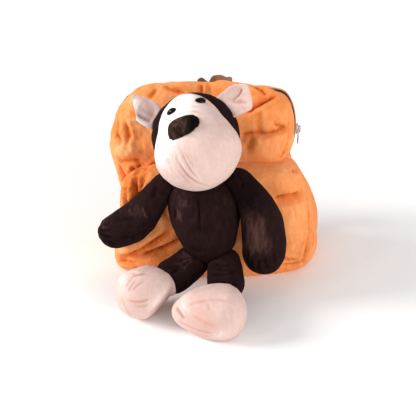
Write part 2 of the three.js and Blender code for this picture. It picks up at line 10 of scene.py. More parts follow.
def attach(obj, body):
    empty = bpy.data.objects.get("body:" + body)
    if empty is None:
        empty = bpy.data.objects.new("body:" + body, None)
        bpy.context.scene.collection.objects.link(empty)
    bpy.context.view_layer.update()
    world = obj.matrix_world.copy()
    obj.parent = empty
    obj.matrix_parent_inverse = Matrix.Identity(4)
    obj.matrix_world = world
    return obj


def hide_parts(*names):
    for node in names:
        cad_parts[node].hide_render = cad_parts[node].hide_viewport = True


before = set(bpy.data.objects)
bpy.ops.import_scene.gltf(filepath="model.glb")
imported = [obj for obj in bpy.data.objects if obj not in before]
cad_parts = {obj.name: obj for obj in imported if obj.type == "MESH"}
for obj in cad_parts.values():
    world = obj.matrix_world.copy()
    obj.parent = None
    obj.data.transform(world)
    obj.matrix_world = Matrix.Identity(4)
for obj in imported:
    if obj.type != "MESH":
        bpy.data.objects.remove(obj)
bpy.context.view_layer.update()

bl_info = {
    "name": "Plush animal backpack",
    "version": (1, 0, 0),
    "blender": (4, 5, 0),
    "location": "3D View > Sidebar > Backpack",
    "description": "Sews a soft orange backpack with a stuffed monkey on its front round its solid frame",
    "category": "Object",
}

MM = 0.001
BACK = np.array((0.0, 1.0, 0.0))
BACKPACK, PULLER = "backpack", "zip_puller"
# The frame's nodes as skins, filled by main, to find how near a piece lies to its neighbours.
NODE_TREES = {}

# Shapes of the bag, in millimetres: x to the right seen from the front, y to the back and z up.

# Outline of the bag seen from the front (x, z), anticlockwise from the middle of its base.
BAG_OUTLINE = (
    (0, -9), (96, -9), (130, 4), (146, 34), (133, 80), (112, 118), (96, 143), (103, 161), (105, 186),
    (101, 214), (88, 237), (40, 241), (-22, 241), (-76, 237), (-124, 224), (-147, 199), (-155, 152),
    (-141, 106), (-140, 74), (-146, 40), (-140, 6), (-100, -9),
)
BAG_MIDDLE = (-6, 112)
# Height, and how far the bag reaches forward and back there.
BAG_DEPTH = ((-10, -52, 56), (40, -56, 62), (120, -50, 64), (190, -26, 60), (262, 8, 42))
# Rings from the zip to the middle of the front: depth from -1 at the front to 1 at the back, size against
# the outline, and how far the ring's top puffs up in front of the zip.
BAG_FRONT_RINGS = (
    (0.34, 1.0, 0), (0.1, 1.0, 7), (-0.2, 0.99, 12), (-0.56, 0.96, 10), (-0.82, 0.89, 4),
    (-0.95, 0.77, 0), (-1.0, 0.58, 0), (-1.02, 0.36, 0), (-1.02, 0.15, 0), (-1.02, 0.004, 0),
)
# Rings of the back half. The last number is the share of the zip's width that the ring gives way by.
BAG_BACK_RINGS = (
    (0.34, 1.0, 1), (0.84, 0.975, 0.75), (0.97, 0.9, 0.45), (1.0, 0.7, 0), (1.01, 0.42, 0),
    (1.01, 0.16, 0), (1.01, 0.004, 0),
)
# Place across the bag, and how full the crest of its top is there.
BAG_CREST = (
    (-140, 0), (-118, 0.65), (-96, 0.85), (-44, 0.8), (-28, 0.7), (-20, 0.85), (-12, 0.65), (0, 1.05),
    (50, 1), (92, 0),
)
# Heights where the crest begins and where it is full.
CREST_FROM, CREST_FULL = 180, 225
# Half depth and half width, to space the rows evenly.
BAG_REACH, BAG_SPREAD = 57, 130
# Points round each half, and rows from its zip to its middle.
BAG_FRONT_MESH, BAG_BACK_MESH = (400, 100), (260, 70)
# Broad dents of the slack front: from a point (x, z) to another, how deep and how wide. They set in
# between two shares of the depth, counted forward.
BAG_DENTS_SET = (-0.2, 0.9)
BAG_DENTS = (
    (-18, 262, -14, 228, 8, 15), (-140, 138, -60, 150, 6, 15), (36, 226, 92, 244, 5, 15),
    (40, 188, 88, 192, 5, 14), (40, 156, 104, 154, 4, 12),
)
# The pocket's outline, in the columns of the bag's.
POCKET_OUTLINE = (
    (0, -8), (92, -8), (137, 4), (149, 36), (144, 70), (135, 108), (117, 150), (101, 161), (40, 161),
    (-30, 157), (-92, 146), (-122, 128), (-129, 90), (-138, 40), (-137, 2), (-102, -8),
)
POCKET_MIDDLE = (2, 72)
# Rings from the pocket's sewn edge to the middle of its front: how far back, and size against its
# outline.
POCKET_RINGS = (
    (-6, 0.97), (-36, 1.0), (-62, 0.98), (-80, 0.91), (-88, 0.78), (-92, 0.54), (-93, 0.24), (-93, 0.004),
)
POCKET_SPREAD, POCKET_MESH = 100, (360, 90)
# Place across the pocket, and how full it hangs there.
POCKET_FILL = ((-140, 1.16), (-20, 1.06), (60, 0.86), (140, 0.67))
# Broad dents of the pocket, in the columns of the bag's, and how far forward they set in.
POCKET_DENTS_SET = (40, 90)
POCKET_DENTS = ((70, 108, 132, 124, 5, 16), (-130, 22, -60, 44, 5, 16))

# The zip's ends, counted in steps of the bag's outline, and how far its tapered ends run past them.
ZIP_STEPS, ZIP_FIRST, ZIP_LAST, ZIP_TAPER = 52, 16, 35, 0.8
# The slot between the halves, the tape's gap beside each, its top below the cloth and its thickness.
ZIP_SLOT, TAPE_GAP, TAPE_TOP, TAPE_THICK = 11, 0.5, -0.8, 1.4
# The tape's section: shares of its width across its underside, and back across its top.
TAPE_UNDER, TAPE_OVER = (0, 0.36, 1), (1, 0.64, 0.36, 0)
# Fine points of the rim in each step, how many of them to each side give the zip's way, and tape rings.
ZIP_FINE, ZIP_SPAN, TAPE_RINGS = 20, 6, 240
# Teeth: how far apart, how far they reach past the middle, a bead's section (along, high), and its places
# across with its size there. Then the round of the cast slider's and pull's edges.
TOOTH_PITCH, TOOTH_LAP = 1.7, 0.6
TOOTH_SECTION = ((-0.75, 0.3), (-0.4, 1.5), (0.4, 1.5), (0.75, 0.3))
TOOTH_ACROSS = ((0.1, 0.7), (0.9, 1.0), (2.3, 0.9), (2.6, 0.6))
CAST_ROUND = 0.35

# Middle of the loop's band and of the right strap, from end to end (x, y, z), and their sections.
LOOP_ROUTE = ((-40, 50, 224), (-34, 66, 227), (-14, 76, 229), (4, 68, 229), (10, 50, 224))
LOOP_WIDE, LOOP_THICK, LOOP_RINGS = 17, 3.4, 120
# The way that the loop's band is wide.
LOOP_LEAN = (0, 0.55, 1)
# Place along the loop, from 0 to 1, and how far its crumpled band rises or sags there.
LOOP_LIFT = (
    (0, 0), (0.12, 0.5), (0.2, 2), (0.27, 1.5), (0.36, -6.5), (0.43, 0), (0.5, 2), (0.58, 2.4),
    (0.66, 1.2), (0.74, 4), (0.82, 3.5), (0.92, 0), (1, 0),
)
STRAP_ROUTE = ((42, 56, 200), (46, 82, 196), (56, 108, 152), (82, 106, 76), (104, 82, 31), (112, 60, 27))
STRAP_WIDE, STRAP_THICK, STRAP_RINGS = 44, 9, 160
# As shares of the strap: its bound edge's thickness, where the binding gives way to the filling, and its
# seam's place from the middle, width and depth. Then how much its filling swells, and how often.
STRAP_EDGE, STRAP_BINDING = 0.34, (0.06, 0.3)
STITCH_PLACE, STITCH_WIDE, STITCH_DEEP = 0.82, 0.05, 0.35
STRAP_PLUMP, STRAP_SWELLS = 0.06, 40
# Points round a band's section, as angles.
BAND_TURNS = np.linspace(0, 2 * math.pi, 36, endpoint=False)

# Folds and seams of the cloth, as lines seen from the front: from a point (x, z) to another, how far the
# line bows to its left, how deep the fold is, how wide, and which side swells more, from -1 (left) to 1
# (right). A negative depth is a ridge. A fold's depth also sets the painted shade in its valley.
FOLDS = {
    "bag_front": (
        (-27, 258, -24, 238, 0, 6, 2.4, -0.5),
        (-78, 247, -50, 239, -2, 5, 3.6, 0.4),
        (-66, 244, -44, 238, 0, 3, 3, 0),
        (-96, 228, -87, 242, 0, 2.5, 3.4, 0.3),
        (-146, 197, -138, 181, 4, 2.5, 3.4, 0),
        (-130, 200, -117, 178, 3, 3.4, 2.6, -0.4),
        (-127, 196, -121, 168, 2, 2.6, 2.4, 0),
        (-140, 182, -128, 172, 2, 2.4, 2.6, 0.5),
        (-138, 141, -100, 152, 3, 4, 7, -0.8),
        (-78, 148, -98, 122, -3, 9, 3, 0),
        (-112, 142, -104, 125, -3, 8, 2.8, 0),
        (-121, 129, -111, 110, -5, 8, 3, 0),
        (-136, 138, -121, 120, 0, 7, 3, 0),
        (-102, 146, -101, 123, -3, 5, 3.2, 0),
        (44, 252, 67, 239, 3, 5.5, 3.4, 0.4),
        (84, 242, 40, 220, -1, 7, 3.6, -0.7),
        (61, 224, 64, 196, -2, 2.5, 5, 0),
        (35, 193, 67, 197, 3, 6, 4, 0.7),
        (60, 197, 97, 206, -1, 5, 4, 0.6),
        (78, 210, 97, 204, 1, 3, 3.4, 0),
        (54, 195, 45, 176, 0, 2.2, 5, -0.3),
        (99, 210, 100, 183, 0, 4, 2.4, 0),
        (100, 188, 92, 164, 1, 4.5, 2.4, 0),
        (96, 168, 102, 179, 0, 2.5, 2.2, 0),
    ),
    "front_pocket": (
        (-88, 146, -100, 116, 2, 6, 2.8, 0),
        (109, 161, 110, 154, 1, 4, 2.6, 0),
        (88, 122, 132, 125, 1, 9, 6, 0.4),
        (128, 128, 137, 78, 2, 3.5, 2.4, 0),
        (137, 84, 131, 16, 3, 3.5, 2.4, 0),
        (141, 94, 140, 62, 1, 3, 2.2, 0),
        (143, 66, 142, 32, 2, 3, 2.2, 0),
        (102, 20, 138, 22, -4, 3.5, 2.8, 0),
        (99, 33, 126, 25, -2, 3, 2.8, 0),
        (-128, 18, -42, 86, -3, 9, 4.6, -0.7),
        (-96, 31, -28, 71, -2, 8, 4.2, -0.5),
        (-127, 12, -97, 20, 4, 5, 3, 0),
        (-62, 130, -44, 92, -3, 3, 4.5, 0),
        (-104, 146, -94, 120, 3, 8, 3.2, 0),
        (-118, 136, -108, 108, 2, 8, 3.2, 0),
    ),
    "torso": (
        (-4, 161, 2, 112, 2, 2.2, 1.8, 0),
        (-9, 164, -7, 131, 1, 0.9, 1.6, 0),
        (-34, 136, -35, 121, 2, 2.5, 2.4, 0),
        (-21, 90, 8, 84, -1, 1.5, 3, 0),
        (-43, 146, -38, 123, -4, 1.5, 3, 0),
    ),
    "arm_left": (
        (-77, 132, -70, 114, -2, -2.5, 2.2, 0),
        (-97, 125, -93, 116, 0, -1.2, 2, 0),
        (-142, 86, -121, 94, -1, 2.5, 2.4, 0),
        (-144, 80, -121, 81, 2, 2.5, 2.4, 0),
        (-137, 96, -124, 101, -2, 2.2, 2.4, 0),
        (-138, 71, -115, 69, 4, 2.2, 2.4, 0),
        (-119, 103, -87, 113, 2, 1.6, 3, 0),
        (-112, 82, -70, 97, -3, 1.4, 4, 0),
        (-58, 160, -62, 142, -3, 2, 3.5, 0),
    ),
    "arm_right": (
        (44, 182, 54, 166, 4, 1.8, 3, 0),
        (69, 70, 67, 54, 1, 2, 2.4, 0),
        (80, 72, 81, 50, -2, 2.2, 2.4, 0),
        (89, 77, 92, 57, -2, 2, 2.4, 0),
        (99, 84, 102, 65, -1, 1.8, 2.4, 0),
        (63, 82, 64, 59, 0, 1.8, 2.4, 0),
        (59, 154, 75, 145, -4, 1.4, 3, 0),
    ),
    "leg_left": (
        (-39, 64, -21, 65, 1, 2, 2.4, 0),
        (-18, 64, -10, 68, 2, 2, 2.6, 0),
        (-32, 58, -22, 64, 1, 1.8, 2.4, 0),
        (-28, 68, -12, 72, 0, 1.8, 2.4, 0),
    ),
    "leg_right": (
        (22, 71, 46, 73, 0, 1.6, 2.4, 0),
        (22, 64, 53, 68, 2, 1.8, 2.4, 0),
        (26, 69, 54, 68, 2, 1.6, 2.4, 0),
    ),
    "foot_left": (
        (-90, 61, -48, 68, 5, 1.6, 1.8, 0),
        (-86, 60, -59, 70, 3.5, 2, 1.7, 0),
        (-84, 55, -69, 70, 2.6, 1.8, 1.6, 0),
        (-78, 53, -70, 66, 2.1, 1.8, 1.6, 0),
        (-74, 55, -57, 66, 3, 1.4, 1.8, 0),
        (-80, 45, -49, 51, -3.5, 2.2, 1.8, 0),
        (-67, 39, -51, 44, -2, 1.3, 1.8, 0),
        (-91, 45, -76, 16, 2, 1.2, 2.4, 0),
    ),
    "foot_right": (
        (-16, 42, -2, 33, 1.2, 5, 2.2, -0.4),
        (0, 49, 25, 60, 2.2, 1.4, 1.8, 0),
        (28, 59, 31, 52, 0, 1.2, 1.6, 0),
        (12, 56, 50, 62, 3, 1.2, 2.2, 0),
        (7, 45, 42, 32, -0.6, 1.4, 2.4, 0),
        (-13, 27, 37, 22, -1.8, 1.8, 2, 0),
    ),
    "face": (
        (-24, 231, 9, 182, -3.5, 1.4, 1.5, 0.4),
        (-16, 237, 0, 203, -1, 1.4, 1.4, 0.4),
        (-15, 239, -1, 213, 2.6, 1.1, 1.4, 0.4),
        (-21, 215, -7, 188, 0, 1.2, 1.4, 0),
        (-18, 221, 8, 187, -2, 1.3, 1.4, 0.4),
        (-21, 227, 4, 187, -3, 0.9, 1.4, 0),
        (-11, 226, 3, 198, -1, 0.9, 1.4, 0),
        (-20, 244, -16, 232, 0, 0.9, 1.9, 0),
        (-22, 233, -19, 213, -2.2, 1, 1.8, 0),
        (-35, 225, -33, 216, 0, 1, 2.6, 0),
        (-20, 268, 1, 267, 1.2, 1, 2.4, 0),
        (3, 193, 17, 177, -1, 0.9, 1.8, 0),
        (-27, 224, -9, 194, -2, 0.8, 1.4, 0),
        (-31, 216, -13, 191, -2, 0.7, 1.4, 0),
        (-14, 214, 10, 185, -3, 0.8, 1.4, 0),
        (-18, 241, -12, 225, 1, 0.6, 1.4, 0),
        (-9, 240, 3, 216, 1, 0.6, 1.4, 0),
        (-28, 237, -26, 221, -1, 0.6, 1.4, 0),
    ),
    "nose": (
        (-12, 273, -17, 250, -1, -2.2, 4, 0),
        (-32, 260, -19, 250, 1.7, 1.8, 1.8, 0),
        (-25, 263, -18, 253, 1.5, 1.5, 1.6, 0),
    ),
    "ear_left": (
        (-98, 258, -94, 240, -0.8, -1.5, 2.5, 0),
        (-94, 239, -77, 229, -1.3, 3.5, 2.2, -0.6),
    ),
    "ear_right": (
        (40, 276, 26, 259, 3.7, 2.5, 2, 0),
        (26, 258, 50, 259, -0.5, 2.4, 2, 0),
        (40, 255, 49, 252, 0, 1.6, 2, 0),
    ),
}
# Points on a fold's line, and how far from it a fold is felt, in its own widths.
FOLD_POINTS, FOLD_REACH = 28, 5
# A fold's sides swell by a share of its depth, this far from its line and this widely, in its own widths.
FOLD_SWELL, SWELL_OFF, SWELL_SPREAD = 0.7, 2.0, 1.4
# Shares of a fold's length over which its ends fade, and the depth at which a fold's valley gets its full
# painted shade, with the pile laid right down.
FOLD_FADE, PILE_AND_SHADE_DEEP = (-0.05, 0.2), 3

# Forms that swell or sink in the visible cloth alone, in the columns of the bag's dents.
SWELLS = {
    "bag_front": (
        (-132, 163, -120, 160, -6, 15), (-124, 208, -116, 200, -3, 14), (66, 184, 82, 188, -5, 13),
        (66, 222, 86, 224, -5, 13), (-6, 252, 14, 250, -3, 14), (-50, 252, -70, 250, -3, 14),
    ),
    "front_pocket": (
        (96, 148, 116, 144, -4, 13), (108, 98, 116, 60, -4, 17), (-112, 60, -92, 72, -4, 14),
    ),
    "ear_left": ((-88, 248, -80, 238, 6, 8),),
    "ear_right": ((36, 268, 43, 262, 4, 9),),
}

# Where a stuffed piece is pressed flat: a point on the flat, the way it faces and how round its edge is.
FLATS = {"foot_left": ((-37, -194, 33, 0.83, -0.34, -0.44, 5),)}

# Where a corner of the cloth is drawn out: a place (x, z), how far round it, and the way that it moves.
CORNERS = {"ear_right": ((45, 279, 7, 3, 0, 3), (53, 257, 6, 2, 0, -2))}

# Where the cloth is crumpled: a place (x, z), how far round it, and how high the wrinkles are.
CRUMPLED = {
    "bag_front": (
        (-108, 130, 26, 5), (-126, 182, 36, 3.2), (-90, 232, 30, 1.4), (62, 236, 20, 2),
        (60, 198, 26, 1.2),
    ),
    "front_pocket": ((-98, 132, 28, 5.5), (-80, 44, 36, 1.6), (132, 60, 22, 1.6), (110, 24, 22, 1.2)),
    "arm_left": ((-136, 82, 14, 2.2),),
    "arm_right": ((84, 60, 18, 1.6),),
    "leg_left": ((-22, 66, 16, 1.6),),
    "leg_right": ((38, 68, 14, 1.2),),
}

# Where the pile is brushed up, or down below zero: a place (x, z), how far round it, and how much. Many
# # spots are painted light and shade: lighter where a side faces the lamp, as on the face's forehead and
# # left cheek, the ear's rim and the feet's lit tops, and darker where shade falls, as on the nose's far
# # side and under the bag's folds.
BRUSHED_AND_PAINTED_LIGHT = {
    "bag_front": (
        (-126, 159, 17, 0.65), (-124, 219, 8, 0.5), (-117, 209, 5, -0.6), (-114, 201, 8, 0.6),
        (-113, 189, 8, -0.4), (-138, 181, 7, -0.7), (-104, 175, 15, 0.1), (-70, 246, 20, 0.3),
        (-92, 236, 6, -0.6), (-104, 132, 18, -0.8), (10, 252, 40, -0.2), (80, 232, 24, -0.2),
        (52, 190, 12, -0.4), (74, 184, 14, 0.3), (103, 180, 8, 0.3),
    ),
    "front_pocket": (
        (100, 160, 16, 0.25), (114, 99, 20, 0.2), (-61, 95, 14, 0.2), (-118, 40, 14, 0.25),
        (-66, 36, 26, -0.4), (-102, 136, 18, -0.8),
    ),
    "arm_right": ((74, 118, 21, 0.55), (83, 94, 20, 0.35), (64, 84, 12, 0.4), (56, 160, 22, -0.6)),
    "arm_left": ((-133, 96, 9, 0.5), (-86, 126, 12, 0.3), (-104, 118, 18, 0.15)),
    "torso": ((-26, 149, 14, 0.4), (-1, 136, 9, 0.3), (-28, 129, 8, 0.5)),
    "leg_left": ((-17, 70, 9, 0.6),),
    "leg_right": ((39, 70, 10, 0.3), (38, 50, 18, -0.5)),
    "nose": ((-26, 266, 8, 0.4), (-31, 254, 6, 0.2), (-4, 266, 11, -1.2), (-16, 252, 6, -0.5)),
    "face": ((-45, 262, 26, 0.8), (-54, 225, 20, 0.8), (-28, 276, 22, 0.6)),
    "ear_left": ((-84, 243, 11, 0.3), (-79, 235, 6, -0.3), (-98, 252, 6, 0.9), (-88, 226, 9, 0.9)),
    "foot_left": ((-40, 42, 14, 0.5), (-66, 48, 20, -0.45), (-90, 58, 14, 0.5), (-66, 20, 12, 0.3)),
    "foot_right": ((22, 38, 26, -0.55), (-4, 47, 10, 0.5), (44, 20, 10, 0.4)),
}

# Sizes of the ridges in crumpled cloth, how high their crests stand out of it, and how strong they are.
CRUMPLE_SIZES, CRUMPLE_CREST, CRUMPLE_GAIN = (15, 8), 0.35, 1.6
# Cloth whose normal points back less than this counts as facing the front.
FRONT_FACING = 0.2
# Sizes of the slack cloth's uneven swells, with their heights, and of a stuffed piece's.
CLOTH_SLACK, STUFFED_SWELLS = ((42, 1.92), (17, 1.08)), (26, 11)
# A stuffed piece is held within the first distance of a neighbour, and free beyond the second. None is
# looked for past the third.
SEAM_HELD, SEAM_FREE, SEAM_SEEN = 0.9, 4.5, 6
# Frames for which the filling plumps a piece, and how far a point may move.
PLUMP_FRAMES, PLUMP_CAP = 14, 2.0
# Rows of a sheet, from its sewn rim, over which its folds set in.
RIM_ROWS = 8

# Straight pieces that a step of a smooth curve is drawn with.
CURVE_STEPS = 40

# Places of a plush's four tones on its scale, from painted shade deep in a fold to pile that stands up,
# # which also serves as painted light, and how strong the pile's grain is.
PILE_STOPS, PILE_GRAIN = (0.1, 0.36, 0.58, 0.85), 0.14
# A wave texture of scale 1 has straight bands and slanting bands this far apart, in metres.
STRAIGHT_BANDS, SLANT_BANDS = 2 * math.pi / 20, 2 * math.pi / 10 / math.sqrt(3)


def linear(hex_colour):
    """Linear colour of an sRGB hex value."""
    parts = [int(hex_colour[i : i + 2], 16) / 255 for i in (1, 3, 5)]
    return tuple(c / 12.92 if c <= 0.04045 else ((c + 0.055) / 1.055) ** 2.4 for c in parts) + (1.0,)


# Curves and tables


def hermite(t):
    """Weights of a smooth curve at shares t of a step: of its start, slope there, end and slope there."""
    return 2 * t**3 - 3 * t**2 + 1, t**3 - 2 * t**2 + t, 3 * t**2 - 2 * t**3, t**3 - t**2


def through(points, count, closed=False):
    """Points at even steps along a smooth curve through a few given ones."""
    p = np.asarray(points, float)
    if closed:
        ring = np.vstack([p[-1:], p, p[:2]])
    else:
        ring = np.vstack([2 * p[:1] - p[1:2], p, 2 * p[-1:] - p[-2:-1]])
    start, leave, end, arrive = hermite(np.linspace(0, 1, CURVE_STEPS, endpoint=False)[:, None])
    dense = []
    for a, b, c, d in zip(ring[:-3], ring[1:-2], ring[2:-1], ring[3:]):
        u, v, w = (max(1e-6, np.linalg.norm(s)) ** 0.5 for s in (b - a, c - b, d - c))
        slope_b = ((b - a) / u - (c - a) / (u + v) + (c - b) / v) * v
        slope_c = ((c - b) / v - (d - b) / (v + w) + (d - c) / w) * v
        dense.append(b * start + slope_b * leave + c * end + slope_c * arrive)
    dense = np.vstack(dense + [p[:1] if closed else p[-1:]])
    return even(dense, count, not closed)


def even(line, count, to_end=True):
    """Points at even steps along a line of many points."""
    run = np.concatenate([[0], np.cumsum(np.linalg.norm(np.diff(line, axis=0), axis=1))])
    steps = np.linspace(0, run[-1], count, endpoint=to_end)
    return np.column_stack([np.interp(steps, run, line[:, k]) for k in range(line.shape[1])])


def read(rows, column, places):
    """A column of a table at places along its first column, on a smooth curve through its rows."""
    x, y = (np.array([row[k] for row in rows], float) for k in (0, column))
    slope = np.zeros_like(y)
    slope[1:-1] = (y[2:] - y[:-2]) / (x[2:] - x[:-2])
    places = np.clip(places, x[0], x[-1])
    i = np.clip(np.searchsorted(x, places) - 1, 0, len(x) - 2)
    step = x[i + 1] - x[i]
    start, leave, end, arrive = hermite((places - x[i]) / step)
    return y[i] * start + slope[i] * step * leave + y[i + 1] * end + slope[i + 1] * step * arrive


def ease(value, low, high):
    """0 below low, 1 above high and smooth between."""
    t = np.clip((value - low) / (high - low), 0, 1)
    return t * t * (3 - 2 * t)


def boxed(value, power):
    """A sine or cosine with its round drawn out towards a box, for powers below 1."""
    return math.copysign(abs(value) ** power, value)


def unit(vectors):
    """Vectors scaled to a length of 1."""
    return vectors / np.maximum(np.linalg.norm(vectors, axis=-1, keepdims=True), 1e-9)


def waver(points, size, seed):
    """Smooth noise between about -1 and 1 at points in millimetres, with swells of the given size."""
    shift = Vector((seed * 7.31, seed * 3.17, seed * 5.77))
    return np.array([noise.noise(Vector(p) / size + shift) for p in points])


# Shapes in the cloth


def dents(table, x, z):
    """How deep a table of broad dents presses the cloth at places on the front."""
    deep = np.zeros_like(x)
    for x0, z0, x1, z1, most, wide in table:
        dx, dz = x1 - x0, z1 - z0
        t = np.clip(((x - x0) * dx + (z - z0) * dz) / (dx * dx + dz * dz), 0, 1)
        deep += most * np.exp(-((np.hypot(x - x0 - t * dx, z - z0 - t * dz) / wide) ** 2))
    return deep


def fold_line(row, tree):
    """A fold's line on a piece: drawn as seen from the front and thrown back on to the piece's skin."""
    x0, z0, x1, z1, bow = row[:5]
    t = np.linspace(0, 1, FOLD_POINTS)[:, None]
    start, end = np.array((x0, z0), float), np.array((x1, z1), float)
    left = np.array((z0 - z1, x1 - x0)) / np.hypot(x1 - x0, z1 - z0)
    drawn = start + (end - start) * t + left * (4 * bow * t * (1 - t))
    # Each point is thrown from 1 m in front.
    hits = [tree.ray_cast(Vector((x * MM, -1, z * MM)), Vector(BACK))[0] for x, z in drawn]
    return np.array([hit for hit in hits if hit]) / MM


def folded(points, outward, table, tree):
    """How far folds push each point out along its normal, and how they lay its pile, with painted shade in
    their valleys: below 0 in one, and a painted highlight above 0 on a ridge.
    """
    push, pile_and_painted_light = np.zeros(len(points)), np.zeros(len(points))
    for row in table:
        deep, wide, lean = row[5:]
        line = fold_line(row, tree)
        reach = FOLD_REACH * wide
        near = np.all((points > line.min(0) - reach) & (points < line.max(0) + reach), axis=1)
        at, facing = points[near], outward[near]
        nearest = np.linalg.norm(at[:, None] - line[None], axis=2).argmin(1)
        ahead = unit(np.gradient(line, axis=0))[nearest]
        away = at - line[nearest]
        inside = (nearest > 0) & (nearest < len(line) - 1)
        away -= ahead * (away * ahead).sum(1, keepdims=True) * inside[:, None]
        side = np.sign((away * np.cross(ahead, facing)).sum(1))
        off = np.linalg.norm(away, axis=1) / wide
        place = nearest / (len(line) - 1)
        fade = ease(np.minimum(place, 1 - place), *FOLD_FADE)
        valley = np.exp(-(off**1.5)) * fade
        swell = np.exp(-((off - SWELL_OFF) ** 2) / SWELL_SPREAD) * fade * (0.5 + 0.5 * lean * side)
        push[near] += deep * (FOLD_SWELL * swell - valley)
        # Painted shade: the tone darkens along a fold's valley, and lightens along a ridge as a painted
        # highlight.
        pile_and_painted_light[near] -= valley**2 * np.clip(deep / PILE_AND_SHADE_DEEP, -1, 1)
    return push, np.clip(pile_and_painted_light, -1, 1)


def close_to(points, x, z, reach):
    """1 at a place seen from the front, and fading away round it."""
    return np.exp(-((points[:, 0] - x) ** 2 + (points[:, 2] - z) ** 2) / reach**2)


def pressed(points, table):
    """How far flats that press a piece move each of its points."""
    moved = points
    for row in table:
        facing = unit(np.array(row[3:6], float))
        past = (moved - np.array(row[:3], float)) @ facing
        moved = moved - np.outer((past + np.hypot(past, row[6])) / 2, facing)
    return moved - points


def drawn_out(points, table):
    """How far corners of the cloth that are drawn out move each point."""
    move = np.zeros_like(points)
    for x, z, reach, *way in table:
        move += np.outer(close_to(points, x, z, reach), way)
    return move


def soft_spots(points, table):
    """How strong a table of soft round spots is at each point."""
    strong = np.zeros(len(points))
    for x, z, reach, most in table:
        strong += most * close_to(points, x, z, reach)
    return strong


def crumples(points, table, seed):
    """Sharp small ridges where the cloth is crumpled, in millimetres."""
    if not table:
        return np.zeros(len(points))
    large, small = (np.abs(waver(points, size, seed + k)) for k, size in enumerate(CRUMPLE_SIZES))
    return soft_spots(points, table) * (CRUMPLE_CREST - large - 0.5 * small) * CRUMPLE_GAIN


def brushed_and_painted_light(points, outward, table):
    """How far the pile is brushed up at each point that faces the front, with its painted light and shade.
    """
    return soft_spots(points, table) * (outward[:, 1] < FRONT_FACING)


# Meshes


def piece_from(name, points, faces):
    """A new object with its mesh at points in millimetres."""
    mesh = bpy.data.meshes.new(name)
    mesh.from_pydata((np.asarray(points) * MM).tolist(), [], faces)
    mesh.update()
    made = bpy.data.objects.new(name, mesh)
    bpy.context.scene.collection.objects.link(made)
    return made


def spots(made, kind="co"):
    """The piece's points in millimetres, or its normals."""
    flat = np.empty(len(made.data.vertices) * 3)
    made.data.vertices.foreach_get(kind, flat)
    return flat.reshape(-1, 3) / (MM if kind == "co" else 1)


def put(made, points):
    """Moves the piece's points to new places in millimetres."""
    made.data.vertices.foreach_set("co", (points * MM).ravel())
    made.data.update()


def smoothed(made, points, rounds):
    """The points with their small bumps drawn away. What the whole form loses by it is given back."""
    edges = np.empty(len(made.data.edges) * 2, int)
    made.data.edges.foreach_get("vertices", edges)
    pairs = edges.reshape(-1, 2)
    first, second = np.concatenate([pairs, pairs[:, ::-1]]).T
    count = np.bincount(first, minlength=len(points))[:, None]

    def relaxed(values):
        for _ in range(rounds):
            total = [np.bincount(first, values[second, k], len(values)) for k in range(3)]
            values = (values + np.column_stack(total) / count) / 2
        return values

    move = relaxed(points) - points
    return points + move - relaxed(move)


def apply_modifiers(made):
    """Keeps what the piece's modifiers make as its mesh."""
    graph = bpy.context.evaluated_depsgraph_get()
    mesh = bpy.data.meshes.new_from_object(made.evaluated_get(graph))
    made.modifiers.clear()
    old, made.data = made.data, mesh
    bpy.data.meshes.remove(old)


def add_modifier(made, kind, **settings):
    """Adds a modifier with its settings."""
    modifier = made.modifiers.new(kind.title(), kind)
    for key, value in settings.items():
        setattr(modifier, key, value)
    return modifier


def mark(made, name, values):
    """Keeps a number for each of the piece's points, for its material to read."""
    layer = made.data.attributes.new(name, "FLOAT", "POINT")
    layer.data.foreach_set("value", np.asarray(values, float))


def finish_piece(made, material, node, body=BACKPACK):
    """Gives a piece its material and its body, and hides the node that it stands for."""
    made.data.materials.clear()
    made.data.materials.append(bpy.data.materials[material])
    made.data.polygons.foreach_set("use_smooth", [True] * len(made.data.polygons))
    made.data.update()
    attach(made, body)
    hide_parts(node)


def ring_faces(rows, turns):
    """Faces between rows of points that each close round into a ring."""
    faces = []
    for low in range(0, (rows - 1) * turns, turns):
        for t in range(turns):
            u = (t + 1) % turns
            faces.append((low + t, low + u, low + turns + u, low + turns + t))
    return faces


def tube_faces(rows, turns):
    """Faces over rings of points, with a face at each end."""
    ends = [tuple(range(turns))[::-1], tuple(range((rows - 1) * turns, rows * turns))]
    return ring_faces(rows, turns) + ends


def sheet_from(name, grid):
    """An open sheet from rows of points: the first row is its rim and the last closes to a point."""
    rows, turns = grid.shape[:2]
    middle = tuple(range((rows - 1) * turns, rows * turns))
    return piece_from(name, grid.reshape(-1, 3), ring_faces(rows, turns) + [middle])


def tube_from(name, rings):
    """A closed skin over rings of points."""
    return piece_from(name, rings.reshape(-1, 3), tube_faces(*rings.shape[:2]))


def skin_tree(made):
    """A piece's skin, to cast rays at and to find near points on."""
    faces = [polygon.vertices for polygon in made.data.polygons]
    return BVHTree.FromPolygons([vertex.co for vertex in made.data.vertices], faces)


def node_copy(name, node):
    """A new object with a copy of a node's mesh."""
    made = bpy.data.objects.new(name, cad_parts[node].data.copy())
    bpy.context.scene.collection.objects.link(made)
    return made


def surface_normals(grid):
    """Normals of a sheet at its rows of points."""
    along = np.roll(grid, -1, 1) - np.roll(grid, 1, 1)
    return unit(np.cross(along, np.gradient(grid, axis=0)))


def shrunk(outline, middle, share):
    """An outline drawn towards its middle, and pressed flat where it meets the floor."""
    x = middle[0] + (outline[:, 0] - middle[0]) * share
    z = np.maximum(0, middle[1] + (outline[:, 1] - middle[1]) * share)
    return x, z


# Materials


def add(tree, kind, inputs=None, **settings):
    """Adds a node with its settings, and sets or links its inputs by name."""
    made = tree.nodes.new("ShaderNode" + kind)
    for key, value in settings.items():
        setattr(made, key, value)
    for key, value in (inputs or {}).items():
        if isinstance(value, bpy.types.NodeSocket):
            tree.links.new(value, made.inputs[key])
        else:
            made.inputs[key].default_value = value
    return made


def new_material(name):
    """The empty node tree of a new material."""
    material = bpy.data.materials.new(name)
    material.use_nodes = True
    tree = material.node_tree
    tree.nodes.clear()
    return tree


